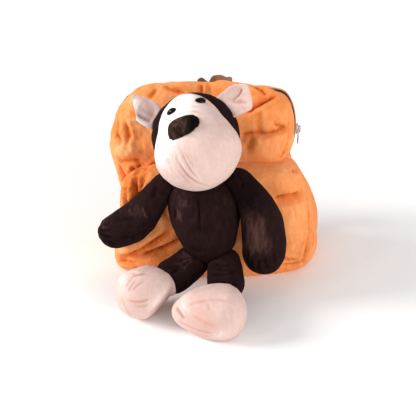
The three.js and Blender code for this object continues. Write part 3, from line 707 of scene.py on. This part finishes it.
def knitted_plush(name, tones, patchy, streaky, pile_and_light_gain, sheen):
    """Knitted plush with a short brushed pile. The eye sees soft light and dark patches where the pile
    lies different ways, a pale bloom at the edges, painted shade deep in the folds and a fine velvety
    grain.
    The tones run from painted shade deep in a fold, through pile that lies away and pile at rest, to pile
    that stands up, which is also painted light on lit sides and ridges. Patchy and streaky say how strong
    its patches and finger strokes are, and the last gain how much the pile mark, the way that the pile
    lies with its painted light and shade, changes the tone."""
    tree = new_material(name)
    place = add(tree, "TexCoord").outputs["Object"]
    # Brushed patches are 32 mm across. Finger strokes are 6 mm wide and drawn out down the pile.
    comb = {"Vector": place, "Rotation": (0.3, 0.5, 0.4), "Scale": (1.0, 1.0, 0.35)}
    combed = add(tree, "Mapping", comb).outputs["Vector"]
    patches = {"Vector": place, "Scale": 1 / 0.032, "Detail": 3.0, "Roughness": 0.55, "Distortion": 0.8}
    strokes = {"Vector": combed, "Scale": 1 / 0.006, "Detail": 3.0, "Roughness": 0.6, "Distortion": 0.5}
    # The pile's hairs are about 0.05 mm thick: its grain is drawn at 1.2 mm so that it shows.
    grain = {"Vector": place, "Scale": 1 / 0.0012, "Detail": 2.0, "Roughness": 0.7}
    gains = (patchy, streaky, PILE_GRAIN)
    layers = [add(tree, "TexNoise", inputs).outputs["Fac"] for inputs in (patches, strokes, grain)]
    tone = 0.5 - 0.5 * sum(gains)
    # The pile mark holds the way that the pile lies, with painted shade in folds and painted light and
    # shade on sides turned towards or away from the lamp.
    pile_and_painted_light = add(tree, "Attribute", attribute_name="pile_and_painted_light").outputs["Fac"]
    for layer, gain in zip((*layers, pile_and_painted_light), (*gains, pile_and_light_gain)):
        tone = add(tree, "Math", {0: layer, 1: gain, 2: tone}, operation="MULTIPLY_ADD").outputs["Value"]
    colour = add(tree, "ValToRGB", {"Fac": tone})
    elements = colour.color_ramp.elements
    for stop in PILE_STOPS[1:-1]:
        elements.new(stop)
    for element, stop, hex_colour in zip(elements, PILE_STOPS, tones):
        element.position = stop
        element.color = linear(hex_colour)
    bump = add(tree, "Bump", {"Height": layers[-1], "Strength": 0.3, "Distance": 0.0006})
    finish = {
        "Base Color": colour.outputs["Color"],
        "Normal": bump.outputs["Normal"],
        "Roughness": 0.92,
        "IOR": 1.5,
        "Specular IOR Level": 0.05,
        "Sheen Weight": sheen,
        "Sheen Roughness": 0.45,
        "Sheen Tint": linear(tones[-1]),
    }
    shader = add(tree, "BsdfPrincipled", finish)
    add(tree, "OutputMaterial", {"Surface": shader.outputs["BSDF"]})


def woven_polyester(name, dark, light, rib, dash):
    """Woven polyester: dull threads over and under. The eye sees fine ribs, and dashes across them."""
    tree = new_material(name)
    place = add(tree, "TexCoord").outputs["Object"]
    # Threads lie 0.5 mm apart: they are drawn about four times as coarse so that they show.
    ribs = {"Vector": place, "Scale": STRAIGHT_BANDS / (rib * MM), "Distortion": 0.6, "Detail": 1.0}
    ribs = add(tree, "TexWave", ribs, bands_direction="Z").outputs["Fac"]
    dashes = {"Vector": place, "Scale": SLANT_BANDS / (dash * MM), "Distortion": 0.8, "Detail": 1.0}
    dashes = add(tree, "TexWave", dashes, bands_direction="DIAGONAL").outputs["Fac"]
    # Worn patches are 12 mm across.
    wear = add(tree, "TexNoise", {"Vector": place, "Scale": 1 / 0.012, "Detail": 3.0}).outputs["Fac"]
    weave = add(tree, "Math", {0: ribs, 1: dashes}, operation="MULTIPLY").outputs["Value"]
    tone = add(tree, "Math", {0: weave, 1: 0.5, 2: wear}, operation="MULTIPLY_ADD").outputs["Value"]
    colours = {"Fac": tone, "Color1": linear(dark), "Color2": linear(light)}
    colour = add(tree, "MixRGB", colours).outputs["Color"]
    bump = add(tree, "Bump", {"Height": weave, "Strength": 0.5, "Distance": 0.0004})
    finish = {
        "Base Color": colour,
        "Normal": bump.outputs["Normal"],
        "Roughness": 0.8,
        "Sheen Weight": 0.25,
    }
    shader = add(tree, "BsdfPrincipled", finish)
    add(tree, "OutputMaterial", {"Surface": shader.outputs["BSDF"]})


def moulded_abs(name):
    """Safety eyes: moulded ABS with a mirror finish. The eye sees black with a sharp highlight."""
    tree = new_material(name)
    finish = {"Base Color": linear("#050506"), "Roughness": 0.07, "Specular IOR Level": 0.15}
    shader = add(tree, "BsdfPrincipled", finish)
    add(tree, "OutputMaterial", {"Surface": shader.outputs["BSDF"]})


def drawn_nylon(name):
    """Zip coil: drawn nylon, dyed with the tape. The eye sees small satin beads."""
    tree = new_material(name)
    finish = {"Base Color": linear("#2C1D17"), "Roughness": 0.35, "IOR": 1.53}
    shader = add(tree, "BsdfPrincipled", finish)
    add(tree, "OutputMaterial", {"Surface": shader.outputs["BSDF"]})


def nickel_plate(name):
    """Zip slider and pull: cast zinc with bright nickel plate. The eye sees clear reflections, and a
    slight haze of scuffs."""
    tree = new_material(name)
    place = add(tree, "TexCoord").outputs["Object"]
    # Scuffs are 4 mm across.
    scuffs = {"Vector": place, "Scale": 1 / 0.004, "Detail": 4.0, "Roughness": 0.65}
    scuffs = add(tree, "TexNoise", scuffs).outputs["Fac"]
    haze = {"Value": scuffs, "From Min": 0.3, "From Max": 0.7, "To Min": 0.18, "To Max": 0.38}
    haze = add(tree, "MapRange", haze).outputs["Result"]
    finish = {"Base Color": linear("#C4C6C8"), "Metallic": 1.0, "Roughness": haze}
    shader = add(tree, "BsdfPrincipled", finish)
    add(tree, "OutputMaterial", {"Surface": shader.outputs["BSDF"]})


def backdrop_paper(name):
    """Backdrop paper: smooth and uncoated. The eye sees even white with no shine."""
    tree = new_material(name)
    shader = add(tree, "BsdfPrincipled", {"Base Color": linear("#FFFFFF"), "Roughness": 0.9})
    add(tree, "OutputMaterial", {"Surface": shader.outputs["BSDF"]})


# Settings


class BackpackColours(bpy.types.PropertyGroup):
    """Colours of the plush at rest, as sRGB hex values"""

    orange: StringProperty(name="Orange plush", description="Bag and pocket", default="#F8A065")
    brown: StringProperty(name="Brown plush", description="Head, body and limbs", default="#271616")
    pale: StringProperty(name="Pale plush", description="Face, ears and feet", default="#E0C3BA")
    nose: StringProperty(name="Nose plush", description="Nose", default="#33231D")


class BackpackSizes(bpy.types.PropertyGroup):
    """Sizes that a maker would change"""

    cloth: FloatProperty(
        name="Cloth",
        description="Thickness of the plush",
        default=0.0026,
        min=0.001,
        max=0.004,
        unit="LENGTH",
    )
    floor: FloatProperty(name="Floor", description="Width of the floor", default=24.0, unit="LENGTH")


# The bag


def bag_grid(rings, turns, rows, slot=False):
    """Rows of points over half of the bag, from the zip to the middle of a panel."""
    outline = through(BAG_OUTLINE, turns, closed=True)
    depth, share, last = through([(d * BAG_REACH, s * BAG_SPREAD, k) for d, s, k in rings], rows).T
    depth, share = depth / BAG_REACH, share / BAG_SPREAD
    grid = np.empty((rows, turns, 3))
    for r in range(rows):
        x, z = shrunk(outline, BAG_MIDDLE, share[r])
        front, back = (read(BAG_DEPTH, k, z) for k in (1, 2))
        y = (front + back) / 2 + (back - front) / 2 * depth[r]
        if slot:
            y = y + last[r] * ZIP_SLOT * along_zip(turns)
        else:
            y = y + ease(-depth[r], *BAG_DENTS_SET) * dents(BAG_DENTS, x, z)
            z = z + last[r] * ease(z, CREST_FROM, CREST_FULL) * read(BAG_CREST, 1, x)
        grid[r] = np.column_stack([x, y, z])
    return grid


def along_zip(turns):
    """1 along the zip and 0 elsewhere, round the outline."""
    at = np.arange(turns) / turns * ZIP_STEPS
    return np.clip(at - ZIP_FIRST + 1, 0, 1) * np.clip(ZIP_LAST + 1 - at, 0, 1)


def sewn_cloth(node, grid, cloth, seed):
    """A sheet of plush from rows of points, with its folds, uneven slack, brushed pile and thickness. The
    pile mark also holds painted light and shade.
    """
    made = sheet_from(node + "_cloth", grid)
    rows, turns = grid.shape[:2]
    points, outward = grid.reshape(-1, 3), surface_normals(grid).reshape(-1, 3)
    push, pile_and_painted_light = folded(points, outward, FOLDS.get(node, ()), skin_tree(made))
    for k, (size, high) in enumerate(CLOTH_SLACK):
        push = push + high * waver(points, size, seed + k)
    push = push + crumples(points, CRUMPLED.get(node, ()), seed + 2)
    push = push - dents(SWELLS.get(node, ()), points[:, 0], points[:, 2]) * (outward[:, 1] < 0)
    held = ease(np.repeat(np.arange(rows), turns), 0, RIM_ROWS)
    moved = points + outward * (push * held)[:, None]
    moved[:, 2] = np.maximum(moved[:, 2], 0)
    put(made, smoothed(made, moved, 1))
    # The pile mark: painted shade in fold valleys and painted light and shade from the brushed spots, with
    # the pile's lie.
    mark(made, "pile_and_painted_light", pile_and_painted_light + brushed_and_painted_light(points, outward, BRUSHED_AND_PAINTED_LIGHT.get(node, ())))
    add_modifier(made, "SOLIDIFY", thickness=cloth, offset=-1)
    apply_modifiers(made)
    return made


class BACKPACK_OT_bag(bpy.types.Operator):
    """Make the two halves of the bag"""

    bl_idname = "backpack.bag"
    bl_label = "Bag"

    def execute(self, context):
        front = bag_grid(BAG_FRONT_RINGS, *BAG_FRONT_MESH)
        # The back's rows run the other way round, so that its plush side faces out.
        back = bag_grid(BAG_BACK_RINGS, *BAG_BACK_MESH, slot=True)[:, ::-1]
        for node, grid, seed in (("bag_front", front, 3), ("bag_back", back, 5)):
            made = sewn_cloth(node, grid, context.scene.backpack_sizes.cloth, seed)
            finish_piece(made, "Orange knitted plush", node)
        return {"FINISHED"}


def seated(grid, tree):
    """The rows of points drawn up so that the first one lies where the sheet meets what it is sewn to."""
    rows, turns = grid.shape[:2]
    out = grid.copy()
    for t in range(turns):
        column = grid[:, t]
        for r in range(rows - 2, -1, -1):
            start, step = Vector(column[r + 1] * MM), Vector((column[r] - column[r + 1]) * MM)
            hit = tree.ray_cast(start, step.normalized(), step.length)[0]
            if hit:
                column = np.vstack([np.array(hit) / MM, column[r + 1 :]])
                break
        out[:, t] = even(column, rows)
    return out


class BACKPACK_OT_pocket(bpy.types.Operator):
    """Make the front pocket"""

    bl_idname = "backpack.pocket"
    bl_label = "Front pocket"

    def execute(self, context):
        turns, rows = POCKET_MESH
        outline = through(POCKET_OUTLINE, turns, closed=True)
        reach = through([(y, s * POCKET_SPREAD) for y, s in POCKET_RINGS], rows)
        grid = np.empty((rows, turns, 3))
        for r, (y, share) in enumerate(zip(reach[:, 0], reach[:, 1] / POCKET_SPREAD)):
            x, z = shrunk(outline, POCKET_MIDDLE, share)
            dent = ease(-y, *POCKET_DENTS_SET) * dents(POCKET_DENTS, x, z)
            grid[r] = np.column_stack([x, y * read(POCKET_FILL, 1, x) + dent, z])
        grid = seated(grid, skin_tree(bpy.data.objects["bag_front_cloth"]))
        made = sewn_cloth("front_pocket", grid, context.scene.backpack_sizes.cloth, 8)
        finish_piece(made, "Orange knitted plush", "front_pocket")
        return {"FINISHED"}


# The zip


def zip_line(count):
    """Points along the tape's front edge, the ways along it and out of the bag, and the tape's width."""
    # Only the first row of the grid, the bag's rim, is used.
    rim = bag_grid(BAG_FRONT_RINGS, ZIP_STEPS * ZIP_FINE, 4)[0]
    places = np.linspace((ZIP_FIRST - ZIP_TAPER) * ZIP_FINE, (ZIP_LAST + ZIP_TAPER) * ZIP_FINE, count)
    at = places.astype(int)
    ahead = np.roll(rim, -ZIP_SPAN, 0)[at] - np.roll(rim, ZIP_SPAN, 0)[at]
    ahead[:, 1] = 0
    ahead = unit(ahead)
    out = np.column_stack([ahead[:, 2], np.zeros(count), -ahead[:, 0]])
    ends = (ZIP_FIRST - 1, ZIP_FIRST, ZIP_LAST, ZIP_LAST + 1)
    wide = ZIP_SLOT * np.interp(places / ZIP_FINE, ends, (0, 1, 1, 0)) - 2 * TAPE_GAP
    edge = np.column_stack([np.interp(places, np.arange(len(rim)), rim[:, k]) for k in range(3)])
    edge[:, 1] += TAPE_GAP
    return edge, ahead, out, wide


def tape_rings(edge, out, wide):
    """Rings of the tape's section along the zip."""
    section = [(share, TAPE_TOP - TAPE_THICK) for share in TAPE_UNDER]
    section += [(share, TAPE_TOP) for share in TAPE_OVER]
    rings = [edge + BACK * (share * wide)[:, None] + out * high for share, high in section]
    return np.stack(rings, axis=1)


def teeth(count):
    """Points and faces of the zip's teeth: beads on both sides of its middle, half a pitch apart."""
    points, faces = [], []
    bead = tube_faces(len(TOOTH_ACROSS), len(TOOTH_SECTION))
    for edge, ahead, out, wide in zip(*zip_line(count)):
        middle = edge + BACK * (wide / 2)
        for side in (-1, 1):
            shift = 0.5 * TOOTH_PITCH * (side > 0)
            root = len(points)
            for across, size in TOOTH_ACROSS:
                for along, high in TOOTH_SECTION:
                    place = middle + ahead * (along * size + shift) + BACK * side * (across - TOOTH_LAP)
                    points.append(place + out * (TAPE_TOP + high * size))
            # The beads in front are mirrored, so their faces run the other way round.
            faces += [tuple(root + k for k in face[::side]) for face in bead]
    return points, faces


class BACKPACK_OT_zip(bpy.types.Operator):
    """Make the zip's tape, its teeth, its slider and its pull"""

    bl_idname = "backpack.zip"
    bl_label = "Zip"

    def execute(self, context):
        edge, _, out, wide = zip_line(TAPE_RINGS)
        made = tube_from("zip_tape_cloth", tape_rings(edge, out, wide))
        finish_piece(made, "Woven polyester tape", "zip_tape")
        length = np.linalg.norm(np.diff(edge, axis=0), axis=1).sum()
        made = piece_from("zip_teeth", *teeth(int(length / TOOTH_PITCH)))
        finish_piece(made, "Drawn nylon", "zip_coil")
        rounded = {"segments": 3, "limit_method": "ANGLE", "angle_limit": math.radians(35)}
        for node, body in (("zip_slider", BACKPACK), ("zip_pull", PULLER)):
            made = node_copy(node + "_cast", node)
            add_modifier(made, "WELD", merge_threshold=0.01 * MM)
            add_modifier(made, "BEVEL", width=CAST_ROUND * MM, **rounded)
            apply_modifiers(made)
            finish_piece(made, "Nickel plate", node, body)
            made.data.set_sharp_from_angle(angle=math.radians(50))
        return {"FINISHED"}


# Straps and loop


def band_rings(route, wide_way, count, section):
    """Rings along a route, from a section's places (across, through) at each step."""
    line = through(route, count)
    ahead = unit(np.gradient(line, axis=0))
    through_way = unit(np.cross(ahead, np.asarray(wide_way, float)))
    side = np.cross(through_way, ahead)
    rings = []
    for i in range(count):
        places = section(i / (count - 1))
        rings.append([line[i] + side[i] * s + through_way[i] * t for s, t in places])
    return np.array(rings)


def loop_section(at):
    """The carrying loop's section at a share of its length. Its upper edge rises and sags most."""
    lift = read(LOOP_LIFT, 1, at)
    places = []
    for angle in BAND_TURNS:
        across = boxed(math.cos(angle), 0.5)
        rise = boxed(math.sin(angle), 0.7)
        places.append((LOOP_WIDE / 2 * across + lift * (0.6 + 0.4 * across), LOOP_THICK / 2 * rise))
    return places


def strap_section(at):
    """A shoulder strap's section at a share of its length: filled, with bound edges and a seam by each."""
    plump = 1 + STRAP_PLUMP * math.sin(at * STRAP_SWELLS)
    places = []
    for angle in BAND_TURNS:
        across = boxed(math.cos(angle), 0.55)
        rise = boxed(math.sin(angle), 0.8)
        edge = STRAP_EDGE + (1 - STRAP_EDGE) * float(ease(1 - abs(across), *STRAP_BINDING))
        seam = 1 - STITCH_DEEP * math.exp(-(((abs(across) - STITCH_PLACE) / STITCH_WIDE) ** 2))
        places.append((STRAP_WIDE / 2 * across, STRAP_THICK / 2 * rise * edge * seam * plump))
    return places


class BACKPACK_OT_straps(bpy.types.Operator):
    """Make the carrying loop and the two shoulder straps"""

    bl_idname = "backpack.straps"
    bl_label = "Straps and loop"

    def execute(self, context):
        rings = band_rings(LOOP_ROUTE, LOOP_LEAN, LOOP_RINGS, loop_section)
        made = tube_from("carry_loop_cloth", rings)
        finish_piece(made, "Woven polyester webbing", "carry_loop")
        for node, sign in (("strap_left", -1), ("strap_right", 1)):
            route = [(sign * x, y, z) for x, y, z in STRAP_ROUTE]
            made = tube_from(node + "_pad", band_rings(route, (1, 0, 0), STRAP_RINGS, strap_section))
            finish_piece(made, "Woven polyester webbing", node)
        return {"FINISHED"}


# The monkey


def room_round(node, points):
    """How far each point lies from the frame's other nodes, as far as that counts."""
    others = [tree for name, tree in NODE_TREES.items() if name != node]
    seen = SEAM_SEEN * MM
    room = [min(tree.find_nearest(Vector(p * MM), seen)[3] or seen for tree in others) for p in points]
    return np.array(room) / MM


def stuffed(node, voxel, rounds, pressure=0.0, seed=1, uneven=0.7, seam_rounds=4):
    """A stuffed piece: a node's solid with a fine skin, its facets rounded away, plumped and folded.
    Its seams with other pieces get fewer rounds of smoothing than the rest."""
    made = node_copy(node + "_plush", node)
    add_modifier(made, "REMESH", mode="VOXEL", voxel_size=voxel * MM)
    apply_modifiers(made)
    start = smoothed(made, spots(made), seam_rounds)
    free = ease(room_round(node, start), SEAM_HELD, SEAM_FREE)[:, None]
    put(made, start + (smoothed(made, start, rounds) - start) * free)
    if pressure:
        plumped(made, pressure, free)
    points = spots(made)
    shaped = pressed(points, FLATS.get(node, ())) + drawn_out(points, CORNERS.get(node, ()))
    put(made, points + shaped * free)
    points, outward = spots(made), spots(made, "normal")
    push, pile_and_painted_light = folded(points, outward, FOLDS.get(node, ()), skin_tree(made))
    broad, fine = (waver(points, size, seed + k) for k, size in enumerate(STUFFED_SWELLS))
    push = push + uneven * (broad + 0.5 * fine)
    push = push + crumples(points, CRUMPLED.get(node, ()), seed + 2)
    move = outward * push[:, None]
    move[:, 1] += dents(SWELLS.get(node, ()), points[:, 0], points[:, 2])
    # The pile mark: painted shade in fold valleys and painted light and shade from the brushed spots, with
    # the pile's lie.
    mark(made, "pile_and_painted_light", pile_and_painted_light + brushed_and_painted_light(points, outward, BRUSHED_AND_PAINTED_LIGHT.get(node, ())))
    points = points + move * free
    points[:, 2] = np.maximum(points[:, 2], 0)
    put(made, points)
    return made


def plumped(made, pressure, free):
    """Lets the piece swell as a sewn skin over soft filling. No point moves further than the cap."""
    start = spots(made)
    cloth = add_modifier(made, "CLOTH")
    settings = cloth.settings
    settings.quality = 5
    settings.mass = 0.15
    settings.tension_stiffness = 20
    settings.compression_stiffness = 20
    settings.bending_stiffness = 0.4
    settings.use_pressure = True
    settings.uniform_pressure_force = pressure
    settings.effector_weights.gravity = 0
    cloth.collision_settings.use_collision = False
    cloth.point_cache.frame_start = 1
    cloth.point_cache.frame_end = PLUMP_FRAMES
    for step in range(1, PLUMP_FRAMES + 1):
        bpy.context.scene.frame_set(step)
    graph = bpy.context.evaluated_depsgraph_get()
    moved = np.empty(len(start) * 3)
    made.evaluated_get(graph).data.vertices.foreach_get("co", moved)
    made.modifiers.clear()
    bpy.context.scene.frame_set(1)
    move = moved.reshape(-1, 3) / MM - start
    far = np.linalg.norm(move, axis=1, keepdims=True)
    put(made, start + move * np.minimum(1, PLUMP_CAP / np.maximum(far, 1e-6)) * free)


class BACKPACK_OT_head(bpy.types.Operator):
    """Make the monkey's head: its back, face, nose, eyes and ears"""

    bl_idname = "backpack.head"
    bl_label = "Head"

    def execute(self, context):
        made = stuffed("head_back", voxel=1.2, rounds=60, seed=11, seam_rounds=40)
        finish_piece(made, "Brown knitted plush", "head_back")
        made = stuffed("face", voxel=1.2, rounds=80, seed=13)
        finish_piece(made, "Pale knitted plush", "face")
        made = stuffed("nose", voxel=1.2, rounds=6, seed=17, uneven=0.4)
        finish_piece(made, "Nose knitted plush", "nose")
        for side in ("left", "right"):
            made = stuffed("ear_" + side, voxel=1.2, rounds=8, seed=19, uneven=0.5)
            finish_piece(made, "Pale knitted plush", "ear_" + side)
            made = stuffed("eye_" + side, voxel=0.5, rounds=30, uneven=0)
            finish_piece(made, "Moulded ABS", "eye_" + side)
        return {"FINISHED"}


class BACKPACK_OT_body(bpy.types.Operator):
    """Make the monkey's torso, arms, legs and feet"""

    bl_idname = "backpack.body"
    bl_label = "Body"

    def execute(self, context):
        for seed, node in enumerate(("torso", "arm_left", "arm_right", "leg_left", "leg_right"), 30):
            made = stuffed(node, voxel=2.0, rounds=40, pressure=2.0, seed=seed)
            finish_piece(made, "Brown knitted plush", node)
        for seed, node in enumerate(("foot_left", "foot_right"), 40):
            made = stuffed(node, voxel=1.5, rounds=70, pressure=2.0, seed=seed)
            finish_piece(made, "Pale knitted plush", node)
        return {"FINISHED"}


# Materials of the pieces, and the stage


class BACKPACK_OT_materials(bpy.types.Operator):
    """Make the cloths and the fittings' finishes"""

    bl_idname = "backpack.materials"
    bl_label = "Materials"

    def execute(self, context):
        colours = context.scene.backpack_colours
        # Each plush's tones run from painted shade deep in a fold, through pile that lies away and pile at
        # rest, to pile that stands up, which is also its painted light.
        for name, tones, patchy, streaky, pile_and_light_gain, sheen in (
            ("Orange", ("#A84A16", "#EA8744", colours.orange, "#FFCA90"), 0.3, 0.46, 0.3, 0.2),
            ("Brown", ("#070303", "#150A0A", colours.brown, "#5C413A"), 0.16, 0.4, 0.3, 0.05),
            ("Nose", ("#0B0605", "#1E1410", colours.nose, "#6E5247"), 0.4, 0.56, 0.35, 0.05),
            ("Pale", ("#D49E90", "#D2B0A6", colours.pale, "#FFF6F2"), 0.16, 0.32, 0.42, 0.08),
        ):
            knitted_plush(name + " knitted plush", tones, patchy, streaky, pile_and_light_gain, sheen)
        woven_polyester("Woven polyester tape", "#1E130F", "#3E2B23", rib=1.96, dash=1.65)
        woven_polyester("Woven polyester webbing", "#5A3822", "#93603F", rib=2.09, dash=1.91)
        moulded_abs("Moulded ABS")
        drawn_nylon("Drawn nylon")
        nickel_plate("Nickel plate")
        backdrop_paper("Backdrop paper")
        return {"FINISHED"}


def studio_floor(scene):
    """A wide white floor under the backpack."""
    half = scene.backpack_sizes.floor / 2 / MM
    corners = [(-half, -half, 0), (half, -half, 0), (half, half, 0), (-half, half, 0)]
    floor = piece_from("studio_floor", corners, [(0, 1, 2, 3)])
    floor.data.materials.append(bpy.data.materials["Backdrop paper"])


def studio_light(scene):
    """Even light from all round, a low sun from the left, a fill from the right and a spark in the eyes."""
    world = bpy.data.worlds.new("Studio")
    world.use_nodes = True
    sky = world.node_tree.nodes["Background"].inputs
    sky["Color"].default_value = linear("#FFFFFF")
    sky["Strength"].default_value = 0.62
    scene.world = world
    # Each light's name, kind, place, size (a sun's is an angle) and power.
    for name, kind, spot, size, power in (
        ("key", "SUN", (-1.8, -0.3, 1.0), math.radians(24), 2.6),
        ("fill", "AREA", (1.7, -1.5, 0.8), 1.4, 23),
        ("spark", "AREA", (-0.9, -1.1, 1.0), 0.15, 1.5),
    ):
        light = bpy.data.lights.new(name, kind)
        light.energy = power
        setattr(light, "angle" if kind == "SUN" else "size", size)
        lamp = bpy.data.objects.new(name, light)
        lamp.location = spot
        to_bag = Vector((0, 0, 0.1)) - Vector(spot)
        lamp.rotation_euler = to_bag.to_track_quat("-Z", "Y").to_euler()
        scene.collection.objects.link(lamp)


def photo_camera(scene):
    """The camera, in front of the backpack, a little to its right and looking down at it."""
    azimuth, elevation, distance = math.radians(10), math.radians(30), 1.4
    target = Vector((-0.013, 0, 0.063))
    level = math.cos(elevation)
    back = Vector((math.sin(azimuth) * level, -math.cos(azimuth) * level, math.sin(elevation)))
    lens = bpy.data.cameras.new("camera")
    lens.sensor_width = 36
    lens.lens = 83
    camera = bpy.data.objects.new("camera", lens)
    camera.location = target + back * distance
    camera.rotation_euler = back.to_track_quat("Z", "Y").to_euler()
    scene.collection.objects.link(camera)
    scene.camera = camera


class BACKPACK_OT_stage(bpy.types.Operator):
    """Set the floor, the lights and the camera"""

    bl_idname = "backpack.stage"
    bl_label = "Stage"

    def execute(self, context):
        context.scene.view_settings.view_transform = "Standard"
        studio_floor(context.scene)
        studio_light(context.scene)
        photo_camera(context.scene)
        return {"FINISHED"}


class BACKPACK_PT_panel(bpy.types.Panel):
    """Panel in the 3D view's sidebar"""

    bl_label = "Plush backpack"
    bl_idname = "BACKPACK_PT_panel"
    bl_space_type = "VIEW_3D"
    bl_region_type = "UI"
    bl_category = "Backpack"

    def draw(self, context):
        for made in OPERATORS:
            self.layout.operator(made.bl_idname)


OPERATORS = (
    BACKPACK_OT_materials,
    BACKPACK_OT_stage,
    BACKPACK_OT_bag,
    BACKPACK_OT_pocket,
    BACKPACK_OT_zip,
    BACKPACK_OT_straps,
    BACKPACK_OT_head,
    BACKPACK_OT_body,
)
CLASSES = (BackpackColours, BackpackSizes, *OPERATORS, BACKPACK_PT_panel)


def register():
    """Adds the backpack's classes and settings to Blender."""
    for made in CLASSES:
        bpy.utils.register_class(made)
    bpy.types.Scene.backpack_colours = PointerProperty(type=BackpackColours)
    bpy.types.Scene.backpack_sizes = PointerProperty(type=BackpackSizes)


def unregister():
    """Takes the classes and settings away again."""
    del bpy.types.Scene.backpack_sizes
    del bpy.types.Scene.backpack_colours
    for made in reversed(CLASSES):
        bpy.utils.unregister_class(made)


def main():
    """Makes the backpack and its stage."""
    register()
    for name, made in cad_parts.items():
        NODE_TREES[name] = skin_tree(made)
    bpy.ops.backpack.materials()
    bpy.ops.backpack.stage()
    bpy.ops.backpack.bag()
    bpy.ops.backpack.pocket()
    bpy.ops.backpack.zip()
    bpy.ops.backpack.straps()
    bpy.ops.backpack.head()
    bpy.ops.backpack.body()


if __name__ == "__main__":
    main()
